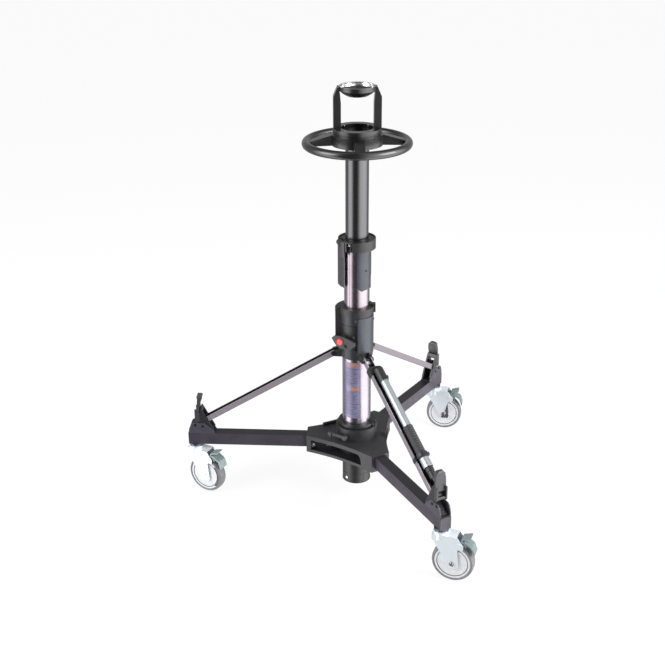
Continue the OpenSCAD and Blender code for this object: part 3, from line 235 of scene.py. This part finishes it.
# Painted shade: this near-black on the arms' top faces stands in for the weaker light they get from above.
arm_top_painted_shade, tree, shader, place = new_material("arm_tops_painted_shade", "232125", 0.3, 0.42)
vary_roughness(tree, shader, place, 0.36, 0.48, 40)
black_coat, tree, shader, place = new_material("black_powder_coat", "1b1b1d", 0.0, 0.42)
vary_roughness(tree, shader, place, 0.36, 0.5, 12)
add_grain(tree, shader, place, 2.0, 0.12, 0.3)
grey_lever, tree, shader, place = new_material("grey_lever_coat", "363639", 0.0, 0.42)
vary_colour(tree, shader, place, "333336", "3a3a3d", 14)
add_grain(tree, shader, place, 1.8, 0.1, 0.35)
cam_coat, tree, shader, place = new_material("black_cast_lever", "27272b", 0.1, 0.42)
vary_roughness(tree, shader, place, 0.36, 0.5, 16)
add_grain(tree, shader, place, 1.8, 0.1, 0.3)
collar_coat, tree, shader, place = new_material("blue_black_anodised_casting", "33343b", 0.4, 0.36)
vary_roughness(tree, shader, place, 0.31, 0.44, 25)
add_grain(tree, shader, place, 1.6, 0.04, 0.3)
cap_coat, tree, shader, place = new_material("brown_black_casting", "2a2828", 0.2, 0.42)
vary_roughness(tree, shader, place, 0.36, 0.5, 18)
add_grain(tree, shader, place, 1.6, 0.06, 0.3)
cover_coat, tree, shader, place = new_material("slate_satin_cover", "3f4248", 0.45, 0.36)
vary_colour(tree, shader, place, "3d4046", "44474d", 35)
add_grain(tree, shader, place, 1.2, 0.03, 0.3)
bracket_coat, tree, shader, place = new_material("slate_bracket_coat", "474550", 0.3, 0.42)
vary_colour(tree, shader, place, "43414b", "4c4a55", 18)
add_grain(tree, shader, place, 1.8, 0.08, 0.3)
print("coated finishes ready")

# %% [markdown]
# Plated steel and bare metal
#
# Zinc plate is a bright bluish grey with a soft mottled gloss. The caster forks are plated this way, the
# pedals have a grey-green passivation over it, and the bolts are nickel. The pump's tube is satin
# silver. The bowl's seat is left as machined, bright metal.

# %% Metal finishes
zinc_plate, tree, shader, place = new_material("bright_zinc_plate", "e6eef3", 0.3, 0.3)
vary_roughness(tree, shader, place, 0.27, 0.33, 18)
# Painted shade: this dark zinc on the caster stems' flange stands in for the shade under the arm.
stem_painted_shade, tree, shader, place = new_material("stem_flange_painted_shade", "4a4f5c", 0.8, 0.38)
vary_roughness(tree, shader, place, 0.3, 0.46, 12)
bolt_steel, tree, shader, place = new_material("nickel_plated_steel", "cfcfd2", 1.0, 0.25)
vary_roughness(tree, shader, place, 0.2, 0.32, 6)
pedal_zinc, tree, shader, place = new_material("grey_passivated_zinc", "8b989a", 0.4, 0.4)
vary_colour(tree, shader, place, "859294", "92a0a1", 9)
pump_steel, tree, shader, place = new_material("satin_silver_tube", "a2a8ac", 0.6, 0.32)
vary_roughness(tree, shader, place, 0.28, 0.38, 30)
brass_metal, tree, shader, place = new_material("turned_brass", "c9a561", 1.0, 0.3)
vary_roughness(tree, shader, place, 0.25, 0.36, 5)
bright_seat, tree, shader, place = new_material("machined_aluminium_seat", "e4e4e6", 1.0, 0.18)
vary_roughness(tree, shader, place, 0.15, 0.24, 12)
black_screw, tree, shader, place = new_material("black_oxide_screw", "1d1d20", 0.6, 0.4)
vary_roughness(tree, shader, place, 0.34, 0.5, 4)
print("metal finishes ready")

# %% [markdown]
# Rubber, nylon and other plastics
#
# The wheels are pale nylon with a grey polyurethane tyre, which looks waxy and even. The pump's grip and
# end fittings are black moulded plastic and rubber with a matt, slightly pebbled face, and the arms' end
# caps are a nylon with a little violet in it. The bushes inside are acetal, and the button is red.

# %% Plastic finishes
black_nylon, tree, shader, place = new_material("black_glass_nylon", "171719", 0.0, 0.46)
add_grain(tree, shader, place, 1.6, 0.06, 0.35)
cap_nylon, tree, shader, place = new_material("violet_black_nylon", "3d3a42", 0.0, 0.44)
add_grain(tree, shader, place, 1.6, 0.06, 0.35)
tyre_poly, tree, shader, place = new_material("grey_polyurethane", "77767b", 0.0, 0.48)
vary_colour(tree, shader, place, "6f6e73", "7a797e", 12)
add_grain(tree, shader, place, 2.5, 0.05, 0.3)
wheel_nylon, tree, shader, place = new_material("pale_grey_nylon", "d9dadf", 0.0, 0.4)
vary_colour(tree, shader, place, "d4d5da", "dfe0e4", 16)
# Dust and painted shade: this darker grey in the wheels' rim groove stands for dust and for the shade in it.
groove_dust_and_shade, tree, shader, place = new_material("rim_groove_dust_and_painted_shade", "5a5a5e", 0.0, 0.7)
vary_colour(tree, shader, place, "505054", "646468", 5)
grip_rubber, tree, shader, place = new_material("black_ribbed_rubber", "2d2d30", 0.0, 0.58)
add_grain(tree, shader, place, 1.5, 0.08, 0.4)
seal_rubber, tree, shader, place = new_material("black_nitrile_rubber", "121212", 0.0, 0.65)
add_grain(tree, shader, place, 1.5, 0.05, 0.3)
bush_acetal, tree, shader, place = new_material("black_acetal_bush", "18181a", 0.0, 0.36)
vary_roughness(tree, shader, place, 0.3, 0.44, 10)
guide_acetal, tree, shader, place = new_material("natural_acetal", "dcd8c8", 0.0, 0.4)
vary_colour(tree, shader, place, "d6d2c2", "e0dccd", 20)
red_plastic, tree, shader, place = new_material("red_moulded_button", "e0544c", 0.0, 0.3)
vary_colour(tree, shader, place, "db4f48", "e65b52", 5)
red_rim, tree, shader, place = new_material("deep_red_button_rim", "8e1c1c", 0.0, 0.3)
vary_roughness(tree, shader, place, 0.24, 0.36, 5)
print("plastic finishes ready")

# %% [markdown]
# From CAD node to finished piece
#
# A CAD node arrives as loose triangles with knife-sharp edges. Real edges are broken by a file, a mould
# or a coat of paint, and that narrow round edge is what catches the light. So each node is copied, its
# triangles are merged, its sharp edges get a small bevel, and the copy then stands for the node on the
# same body. A face can also be given its own finish by where it lies, and cut_z first splits the faces
# at a height where a finish ends.

# %% The function that dresses a node
WELD = 2e-6
FLAT = math.radians(0.4)
SMOOTH = math.radians(40)


def dress(name, finish, bevel_mm=0.6, segments=2, sharp=30, others=(), pick=None, cut_z=()):
    """A bevelled, smooth copy of a CAD node. pick(centre, normal) gives the index of a face's finish."""
    bm = bmesh.new()
    bm.from_mesh(nodes[name].data)
    bmesh.ops.remove_doubles(bm, verts=bm.verts, dist=WELD)
    bmesh.ops.dissolve_limit(bm, angle_limit=FLAT, verts=bm.verts, edges=bm.edges)
    for z in cut_z:
        bmesh.ops.bisect_plane(bm, geom=[*bm.verts, *bm.edges, *bm.faces], plane_co=(0, 0, z),
                               plane_no=(0, 0, 1))
    for face in bm.faces:
        face.material_index = pick(face.calc_center_median(), face.normal) if pick else 0
    edges = [e for e in bm.edges if len(e.link_faces) == 2 and e.calc_face_angle() > math.radians(sharp)]
    bmesh.ops.bevel(bm, geom=edges, offset=bevel_mm * MM, offset_type="OFFSET", affect="EDGES",
                    segments=segments, profile=0.5, material=-1, clamp_overlap=True)
    for face in bm.faces:
        face.smooth = True
    for edge in bm.edges:
        edge.smooth = len(edge.link_faces) == 2 and edge.calc_face_angle() < SMOOTH
    mesh = bpy.data.meshes.new(name + "_dressed")
    bm.to_mesh(mesh)
    bm.free()
    for material in (finish, *others):
        mesh.materials.append(material)
    piece = bpy.data.objects.new(name + "_dressed", mesh)
    scene.collection.objects.link(piece)
    weighted = piece.modifiers.new("weighted_normals", "WEIGHTED_NORMAL")
    weighted.keep_sharp = True
    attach(piece, body_of_node[name])
    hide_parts(name)
    return piece


print("dress is ready for", len(nodes), "nodes")

# %% [markdown]
# Where a face lies
#
# A pick function sorts faces by their place, so it helps to measure in the part's own terms: how far a
# point is from the column's axis, which way round the column it is, and where it is along an arm.

# %% Measures of place
SIDES = ("left", "front", "back")
ARM_AZ = {"left": 180, "front": 300, "back": 60}
FACES_UP = 0.7
SQUARE_ON = 0.9


def in_arm(point, side):
    """A point in an arm's own frame: X out along the arm, Y across it, Z up."""
    return Matrix.Rotation(-math.radians(ARM_AZ[side]), 3, "Z") @ point


def azimuth(point):
    """Degrees round the column's axis from +X."""
    return math.degrees(math.atan2(point.y, point.x))


def reach(point):
    """Distance from the column's axis."""
    return math.hypot(point.x, point.y)


print("arm azimuths", ARM_AZ)

# %% [markdown]
# The head
#
# The steering ring is a bent round bar on four flat spokes, and the fork holds the bowl by two arms. All
# of it is enamelled but for the bowl's seat, a bright machined band just inside its rim. The seat is
# found by distance: its faces lie on a ball of 50 mm round the middle of the rim.

# %% Dress the head
BOWL_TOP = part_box("bowl")[1].z
BOWL_CENTRE = Vector((0, 0, BOWL_TOP))
BOWL_SEAT = 50.4 * MM
SEAT_FOOT = BOWL_TOP - 10.5 * MM


def bowl_face(centre, normal):
    inside = (centre - BOWL_CENTRE).length < BOWL_SEAT and normal.dot(BOWL_CENTRE - centre) > 0
    return int(inside and centre.z > SEAT_FOOT)


dress("steering_wheel", black_enamel, 1.0, 3)
dress("head_fork", black_enamel, 1.2, 3)
dress("bowl", black_enamel, 0.6, 3, others=(bright_seat,), pick=bowl_face, cut_z=(SEAT_FOOT,))
dress("head_screws", bolt_steel, 0.3)
print("head dressed")

# %% [markdown]
# The column
#
# Three tubes slide in each other, and a hinged cam lever or a button locks each stage. The base tube is
# lilac, and darker below where it runs down through the hub and on its inner wall. Small clues tell the
# collars' parts apart: the cap and the hinge ears are a warmer black than the body. The milled pocket is
# painted dark as shade. The spring inside the button keeps its CAD mesh and only gets its steel. Heights
# below are from the floor, and reaches are distances from the column's axis.

# %% Dress the column
DARKER_UP_TO = 0.215
TUBE_OUTSIDE = 44.0 * MM
LOW_CAP_FOOT = 0.6385
LOW_SKIRT_TOP = 0.515
LOW_EAR_REACH = 54.5 * MM
LOW_SHADED_POCKET_REACH = 49.0 * MM
UP_EAR_REACH = 57.4 * MM
UP_BUSH_REACH = 53.0 * MM
UP_BUSH_TOP = 0.876
BUTTON_RIM_STEP = 0.3 * MM
SHIELD_SCREWS_BELOW = 0.84
HINGE_PINS_BELOW = 0.56
COVER_SCREWS_AZ = 2
COVER_SCREWS_SPREAD = 6
button_out = -Vector(next(j["axis"] for j in frame["joints"] if j["name"] == "lock_button_press"))
button_front = max(v.co.dot(button_out) for v in nodes["lock_button"].data.vertices)


def base_tube_face(centre, normal):
    return int(centre.z < DARKER_UP_TO or reach(centre) < TUBE_OUTSIDE)


def lower_collar_face(centre, normal):
    if not LOW_SKIRT_TOP <= centre.z <= LOW_CAP_FOOT or reach(centre) > LOW_EAR_REACH:
        return 1
    # Faces in the milled pocket are painted black as shade.
    return 2 if reach(centre) < LOW_SHADED_POCKET_REACH else 0


def upper_collar_face(centre, normal):
    if reach(centre) > UP_EAR_REACH:
        return 1
    return 2 if normal.z > FACES_UP and centre.z > UP_BUSH_TOP and reach(centre) < UP_BUSH_REACH else 0


def button_face(centre, normal):
    """The button's raised rim is darker than the disc inside it."""
    return int(centre.dot(button_out) > button_front - BUTTON_RIM_STEP and normal.dot(button_out) > SQUARE_ON)


def upper_bolt_face(centre, normal):
    return int(centre.z < SHIELD_SCREWS_BELOW)


def fastener_face(centre, normal):
    return int(abs(azimuth(centre) - COVER_SCREWS_AZ) < COVER_SCREWS_SPREAD or centre.z < HINGE_PINS_BELOW)


dress("upper_tube", black_anodised, 0.4)
dress("mid_tube", mauve_anodised, 0.3)
dress("base_tube", lilac_anodised, 0.15, others=(cap_coat,), pick=base_tube_face, cut_z=(DARKER_UP_TO,))
dress("base_foot_cap", cap_coat, 0.8)
dress("air_valve", brass_metal, 0.3)
dress("upper_collar", cap_coat, 0.7, others=(grey_lever, bush_acetal), pick=upper_collar_face)
dress("upper_bush", bush_acetal, 0.2)
dress("collar_shield", cover_coat, 0.5)
dress("upper_collar_bolts", bolt_steel, 0.3, others=(black_screw,), pick=upper_bolt_face)
dress("stage_lever", cam_coat, 1.2, 3)
dress("lower_collar", collar_coat, 0.6, others=(cap_coat, black_coat), pick=lower_collar_face)
dress("lower_bush", bush_acetal, 0.2)
dress("collar_cover", cover_coat, 0.6)
dress("collar_fasteners", bolt_steel, 0.3, others=(black_screw,), pick=fastener_face)
dress("lock_lever", cam_coat, 1.2, 3)
dress("lock_button", red_plastic, 0.5, others=(red_rim,), pick=button_face)
dress("mid_guide_ring", guide_acetal, 0.3)
dress("piston", lilac_anodised, 0.4)
dress("piston_seal", seal_rubber, 0.2)
nodes["button_spring"].data.materials.clear()
nodes["button_spring"].data.materials.append(bolt_steel)
print("column dressed")

# %% [markdown]
# The dolly
#
# The hub is one thick casting, so its edges are rounder than those of the sawn arms. The arms' top faces
# are painted black as shade, and their sides are a greyer violet. Each bracket's cheeks are slate, the
# seat between them is painted black as shade, and its small screws are blackened.

# %% Dress the dolly
ARM_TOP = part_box("arm_left")[1].z
BRACKET_SHADED_SEAT = (14.7 * MM, ARM_TOP + 0.5 * MM)
BRACKET_SCREWS = (0.4, 0.22)


# Faces that look up take the arms' painted shade.
def arm_shaded_top_face(centre, normal):
    return int(normal.z > FACES_UP)


# The seat between a bracket's cheeks is painted black as shade.
def bracket_shaded_seat_face(centre, normal):
    side = min(SIDES, key=lambda s: abs(in_arm(centre, s).y) + max(0, -in_arm(centre, s).x))
    half_width, foot = BRACKET_SHADED_SEAT
    return int(abs(in_arm(centre, side).y) < half_width and centre.z > foot)


def dolly_bolt_face(centre, normal):
    return int(reach(centre) > BRACKET_SCREWS[0] and centre.z > BRACKET_SCREWS[1])


dress("hub_casting", hub_coat, 1.5, 3)
dress("hub_clamp_ring", black_coat, 0.7)
dress("hub_lever", grey_lever, 0.9)
for side in SIDES:
    dress("arm_" + side, arm_coat, 1.4, 3, others=(arm_top_painted_shade,), pick=arm_shaded_top_face)
dress("arm_end_caps", cap_nylon, 0.8)
dress("arm_brackets", bracket_coat, 0.7, others=(black_coat,), pick=bracket_shaded_seat_face)
dress("dolly_bolts", bolt_steel, 0.35, others=(black_screw,), pick=dolly_bolt_face)
print("dolly dressed")

# %% [markdown]
# The braces and their clamps
#
# A brace is an aluminium channel with its open side up: its inside is painted black as shade, the tops
# of its flanges carry a painted highlight, and its sides are a greyish mauve. Faces are sorted in the
# brace's own frame, whose origin is the hinge pin and whose X axis runs down the brace.

# %% Faces of a brace
frame_joint = {j["child"]: j for j in frame["joints"]}
ARM_END = 546 * MM
BRACE_FOOT_INSET = 12.2 * MM
BRACE_FOOT_LIFT = 17.4 * MM
BRACE_HALF_W = 12.5 * MM
BRACE_HALF_D = 9 * MM
SHADED_INSIDE_HALF_W = BRACE_HALF_W - 2.3 * MM
SHADED_INSIDE_FOOT = 2 * MM - BRACE_HALF_D
HIGHLIGHT_FOOT = BRACE_HALF_D - 0.3 * MM
CUT_END = 0.5


def brace_face_of(side):
    pin = Vector(frame_joint["brace_" + side]["pos_m"])
    drop = pin.z - ARM_TOP - BRACE_FOOT_LIFT
    run = ARM_END - BRACE_FOOT_INSET - reach(pin)
    tilt = Matrix.Rotation(math.atan(drop / run), 3, "Y").inverted()

    def face_of(centre, normal):
        p = tilt @ in_arm(centre - pin, side)
        n = tilt @ in_arm(normal, side)
        # Up-facing flange tops get the painted highlight; the channel's inside gets the painted shade.
        if n.z > SQUARE_ON and p.z > HIGHLIGHT_FOOT:
            return 2
        return int(abs(p.y) < SHADED_INSIDE_HALF_W and p.z > SHADED_INSIDE_FOOT and n.x < CUT_END)
    return face_of


print("braces hinge at height", round(frame_joint["brace_left"]["pos_m"][2], 4))

# %% [markdown]
# The pump
#
# The hand pump lies on the front brace: a satin silver tube, a ribbed rubber grip, and an end that is
# bare metal for a short ferrule below the grip and black plastic beyond it. The ferrule is found along
# the line of the pump's own stroke.

# %% Dress the braces and the pump
pump_up = Vector(next(j["axis"] for j in frame["joints"] if j["name"] == "pump_stroke"))
grip_foot = min(v.co.dot(pump_up) for v in nodes["pump_grip"].data.vertices)
FERRULE_LENGTH = 26 * MM


def pump_end_face(centre, normal):
    return int(centre.dot(pump_up) < grip_foot - FERRULE_LENGTH)


for side in SIDES:
    dress("brace_" + side, brace_anodised, 0.35, others=(channel_painted_shade, flange_painted_highlight), pick=brace_face_of(side))
    dress("brace_shoe_" + side, black_coat, 0.9)
    dress("clamp_lever_" + side, grey_lever, 1.0, 3)
dress("pump_tube", pump_steel, 0.3)
dress("pump_end", pump_steel, 0.6, others=(black_nylon,), pick=pump_end_face)
dress("pump_head", black_nylon, 0.8)
dress("pump_clip", black_nylon, 0.6)
dress("pump_grip", grip_rubber, 0.3)
print("braces and pump dressed")

# %% [markdown]
# The casters
#
# Each caster has a zinc-plated fork, a pale wheel with a grey tyre and a passivated brake pedal. A groove
# in the wheel's face is darker, for dust and for painted shade, and the axle's bolt is bare steel, so both
# get their own finish, found by their distance from the axle. The stems' flange under the arm is painted
# dark as shade.

# %% Dress the casters
WHEEL_GROOVE = (44.3 * MM, 47.1 * MM)
AXLE_BOLT = (0.0, 9 * MM)
STEM_SHADED_FLANGE = (0.1615, 0.1695)


def near_axle(side, between):
    """A pick function for the faces that lie between two distances from a wheel's axle."""
    joint = frame_joint["wheel_" + side]
    axle, along = Vector(joint["pos_m"]), Vector(joint["axis"])

    def face_of(centre, normal):
        away = centre - axle
        return int(between[0] <= (away - along * away.dot(along)).length < between[1])
    return face_of


# The stem's flange under the arm is painted dark as shade.
def stem_shaded_face(centre, normal):
    return int(STEM_SHADED_FLANGE[0] < centre.z < STEM_SHADED_FLANGE[1])


for side in SIDES:
    dress("caster_fork_" + side, zinc_plate, 0.7, 3, others=(bolt_steel,), pick=near_axle(side, AXLE_BOLT))
    dress("wheel_centre_" + side, wheel_nylon, 0.4, others=(groove_dust_and_shade,),
          pick=near_axle(side, WHEEL_GROOVE))
    dress("tyre_" + side, tyre_poly, 1.0, 3, sharp=16)
    dress("brake_pedal_" + side, pedal_zinc, 0.5)
dress("caster_stems", zinc_plate, 0.4, others=(stem_painted_shade,), pick=stem_shaded_face)
print("casters dressed")

# %% [markdown]
# The label on the base tube
#
# A tall instruction label wraps round the front of the base tube. Here it is a plain generic sheet: rows
# of bars and blocks stand where a real one would have its print. Every patch is a thin rectangle in the
# tube's side view, spun round the column's axis, so it follows the tube exactly.

# %% Label
LABEL_RADIUS = 45.0 * MM
LABEL_AZ = (-140.2, -73.0)
LABEL_Z = (0.290, 0.484)
PAPER_MM = 0.12
PAPER_LIFT_MM = 0.02
INK_LIFT_MM = 0.15
STEP_AZ = 3
BORDER_AZ = 2
BORDER_INSET_AZ = 0.3
BORDER_Z = (0.292, 0.472)
HEADER_INSET_AZ = 4
HEADER_LINE = (0.470, 0.473)
HEADER_BLOCK = (0.475, 0.481)
HEADER_BLOCK_AZ = -111
SECTION_BLOCK = (0.388, 0.397)
SECTION_BLOCK_AZ = -109
SECTION_CLEAR = (0.384, 0.403)
ROWS_Z = (0.300, 0.464)
ROW_GAP = 3.4 * MM
ROW_THICK_MM = (3.6, 2.2, 2.8, 2.2)
ROW_SHORT_AZ = (0, 13, 4, 9, 20)
ROW_INSET_AZ = (5, 8)
label_paper, tree, shader, place = new_material("lilac_label_film", "807c97", 0.3, 0.36)
vary_colour(tree, shader, place, "7a7691", "8683a0", 16)
label_ink, tree, shader, place = new_material("violet_label_ink", "5d5878", 0.1, 0.4)
vary_colour(tree, shader, place, "565171", "66617f", 4)
label_orange, tree, shader, place = new_material("orange_label_ink", "b5714a", 0.1, 0.4)
vary_colour(tree, shader, place, "ad6a44", "bd7951", 4)


def label_patch(bm, az, z, lift_mm, finish):
    """Adds one curved patch between two azimuths and two heights. Tags keep earlier patches' finish."""
    inner = LABEL_RADIUS + lift_mm * MM
    outer = inner + PAPER_MM * MM
    start = math.radians(az[0])
    corners = [bm.verts.new((r * math.cos(start), r * math.sin(start), h))
               for r, h in ((inner, z[0]), (outer, z[0]), (outer, z[1]), (inner, z[1]))]
    face = bm.faces.new(corners)
    steps = max(1, round((az[1] - az[0]) / STEP_AZ))
    bmesh.ops.spin(bm, geom=[face], cent=(0, 0, 0), axis=(0, 0, 1), angle=math.radians(az[1] - az[0]),
                   steps=steps, use_merge=False, use_duplicate=False)
    for f in bm.faces:
        if not f.tag:
            f.material_index = finish
            f.tag = True


bm = bmesh.new()
label_patch(bm, LABEL_AZ, LABEL_Z, PAPER_LIFT_MM, 0)
left, right = LABEL_AZ
for edge_az in (left + BORDER_INSET_AZ, right - BORDER_INSET_AZ - BORDER_AZ):
    label_patch(bm, (edge_az, edge_az + BORDER_AZ), BORDER_Z, INK_LIFT_MM, 1)
header_end = right - HEADER_INSET_AZ
label_patch(bm, (left + HEADER_INSET_AZ, header_end), HEADER_LINE, INK_LIFT_MM, 2)
label_patch(bm, (HEADER_BLOCK_AZ, header_end), HEADER_BLOCK, INK_LIFT_MM, 2)
label_patch(bm, (SECTION_BLOCK_AZ, header_end), SECTION_BLOCK, INK_LIFT_MM, 2)
row_z = ROWS_Z[1]
row = 0
while row_z > ROWS_Z[0]:
    thick = ROW_THICK_MM[row % len(ROW_THICK_MM)] * MM
    short = ROW_SHORT_AZ[row % len(ROW_SHORT_AZ)]
    if not SECTION_CLEAR[0] < row_z < SECTION_CLEAR[1]:
        row_az = (left + ROW_INSET_AZ[0], right - ROW_INSET_AZ[1] - short)
        label_patch(bm, row_az, (row_z - thick, row_z), INK_LIFT_MM, 1)
    row_z -= thick + ROW_GAP
    row += 1
bmesh.ops.recalc_face_normals(bm, faces=bm.faces)
label_mesh = bpy.data.meshes.new("base_label")
bm.to_mesh(label_mesh)
bm.free()
for material in (label_paper, label_ink, label_orange):
    label_mesh.materials.append(material)
label = bpy.data.objects.new("base_label", label_mesh)
scene.collection.objects.link(label)
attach(label, "dolly")
print("label with", row, "rows")

# %% [markdown]
# Light and background
#
# A product photograph is taken in a white room with a large soft panel on each side. The painted parts
# only need that soft light, but a metal tube is a mirror, and shows the room: a bright upright streak for
# each panel, the pale room at its edges, and a dark middle where the room behind the camera is unlit.
# So the camera sees plain white, diffuse light comes from an even room, and glossy rays see the panels.

# %% Lamps
LAMP_TARGET = (0, 0, 0.7)
LAMP_SIZE = 2.0
LEFT_LAMP_PLACE = (-2.8, -1.6, 2.2)
RIGHT_LAMP_PLACE = (2.8, -1.1, 2.0)
LEFT_WATTS = 80
RIGHT_WATTS = 112


def lamp(name, place, watts):
    """A square soft lamp that faces the column."""
    data = bpy.data.lights.new(name, "AREA")
    data.size = LAMP_SIZE
    data.energy = watts
    obj = bpy.data.objects.new(name, data)
    facing = Vector(LAMP_TARGET) - Vector(place)
    obj.matrix_world = Matrix.Translation(place) @ facing.to_track_quat("-Z", "Y").to_matrix().to_4x4()
    scene.collection.objects.link(obj)


scene.view_settings.view_transform = "Standard"
lamp("left_panel", LEFT_LAMP_PLACE, LEFT_WATTS)
lamp("right_panel", RIGHT_LAMP_PLACE, RIGHT_WATTS)
print("lamps", LEFT_WATTS, "and", RIGHT_WATTS, "watts")

# %% [markdown]
# The room
#
# The world's strength depends only on a ray's direction and its kind. by_azimuth makes one smooth rise
# round the compass: the even room for diffuse light, the dark front, and the two panels that metal
# mirrors. What metal mirrors fades towards the ceiling.

# %% World
LEFT_PANEL_AZ = 68
RIGHT_PANEL_AZ = 66
LEFT_PANEL_GLOW = 2.9
RIGHT_PANEL_GLOW = 3.0
LEFT_PANEL_FADE = (32, 8)
RIGHT_PANEL_FADE = (60, 22)
ROOM_GLOW = (0.38, 0.95)
ROOM_FADE = (180, 100)
MIRRORED_GLOW = (0.09, 0.5)
MIRRORED_FADE = (158, 112)
CEILING_GLOW = 0.45
CEILING_FADE = (0.35, 0.85)
world = bpy.data.worlds.new("white_studio")
scene.world = world
world.use_nodes = True
tree = world.node_tree
background = tree.nodes["Background"]
background.inputs["Color"].default_value = (1, 1, 1, 1)
direction = add_node(tree, "ShaderNodeTexCoord").outputs["Generated"]
level_part = add_node(tree, "ShaderNodeVectorMath", {0: direction, 1: (1, 1, 0)}, operation="MULTIPLY")
compass = add_node(tree, "ShaderNodeVectorMath", {0: level_part.outputs["Vector"]}, operation="NORMALIZE")


def by_azimuth(angle, fade, low, high):
    """A strength that rises from low to high as a direction nears an azimuth, 0 being the front."""
    towards = (math.sin(math.radians(angle)), -math.cos(math.radians(angle)), 0)
    near = add_node(tree, "ShaderNodeVectorMath", {0: compass.outputs["Vector"], 1: towards},
                    operation="DOT_PRODUCT")
    edges = [math.cos(math.radians(a)) for a in fade]
    ramp = add_node(tree, "ShaderNodeMapRange", {"Value": near.outputs["Value"], "From Min": edges[0],
                                                 "From Max": edges[1], "To Min": low, "To Max": high},
                    interpolation_type="SMOOTHSTEP")
    return ramp.outputs["Result"]


def sum_of(a, b):
    return add_node(tree, "ShaderNodeMath", {0: a, 1: b}, operation="ADD").outputs["Value"]


even_room = by_azimuth(180, ROOM_FADE, *ROOM_GLOW)
dark_front = by_azimuth(180, MIRRORED_FADE, *MIRRORED_GLOW)
panels = sum_of(by_azimuth(-LEFT_PANEL_AZ, LEFT_PANEL_FADE, 0.0, LEFT_PANEL_GLOW),
                by_azimuth(RIGHT_PANEL_AZ, RIGHT_PANEL_FADE, 0.0, RIGHT_PANEL_GLOW))
height = add_node(tree, "ShaderNodeSeparateXYZ", {"Vector": direction}).outputs["Z"]
ceiling = add_node(tree, "ShaderNodeMapRange", {"Value": height, "From Min": CEILING_FADE[0],
                                                "From Max": CEILING_FADE[1], "To Min": 1.0,
                                                "To Max": CEILING_GLOW})
mirrored = add_node(tree, "ShaderNodeMath", {0: sum_of(dark_front, panels), 1: ceiling.outputs["Result"]},
                    operation="MULTIPLY")
rays = add_node(tree, "ShaderNodeLightPath")
lit = add_node(tree, "ShaderNodeMix", {"Factor": rays.outputs["Is Glossy Ray"], "A": even_room,
                                       "B": mirrored.outputs["Value"]})
seen = add_node(tree, "ShaderNodeMix", {"Factor": rays.outputs["Is Camera Ray"], "A": lit.outputs["Result"],
                                        "B": 1.0})
tree.links.new(seen.outputs["Result"], background.inputs["Strength"])
print("panels at azimuths", -LEFT_PANEL_AZ, "and", RIGHT_PANEL_AZ)

# %% [markdown]
# The floor
#
# The floor has to look as white as the room and still take a soft shadow, so its paint is mixed with a
# little glow. Glossy rays pass through it, because a tube seen from above mirrors what lies below the
# horizon, and there it should find the panels and not the floor.

# %% Floor
GLOW_SHARE = 0.82
FLOOR_HALF = 14.0
bm = bmesh.new()
bmesh.ops.create_grid(bm, x_segments=1, y_segments=1, size=FLOOR_HALF)
floor_mesh = bpy.data.meshes.new("studio_floor")
bm.to_mesh(floor_mesh)
bm.free()
floor = bpy.data.objects.new("studio_floor", floor_mesh)
scene.collection.objects.link(floor)
floor_white, tree, shader, place = new_material("white_floor", "f8f8f8", 0.0, 0.9)
glow = add_node(tree, "ShaderNodeEmission", {"Color": (1, 1, 1, 1), "Strength": 1.0})
clear = add_node(tree, "ShaderNodeBsdfTransparent")
rays = add_node(tree, "ShaderNodeLightPath")
painted = add_node(tree, "ShaderNodeMixShader", {0: GLOW_SHARE, 1: shader.outputs["BSDF"],
                                                 2: glow.outputs["Emission"]})
shown = add_node(tree, "ShaderNodeMixShader", {0: rays.outputs["Is Glossy Ray"], 1: painted.outputs["Shader"],
                                               2: clear.outputs["BSDF"]})
tree.links.new(shown.outputs["Shader"], tree.nodes["Material Output"].inputs["Surface"])
floor_mesh.materials.append(floor_white)
print("floor of", 2 * FLOOR_HALF, "m")
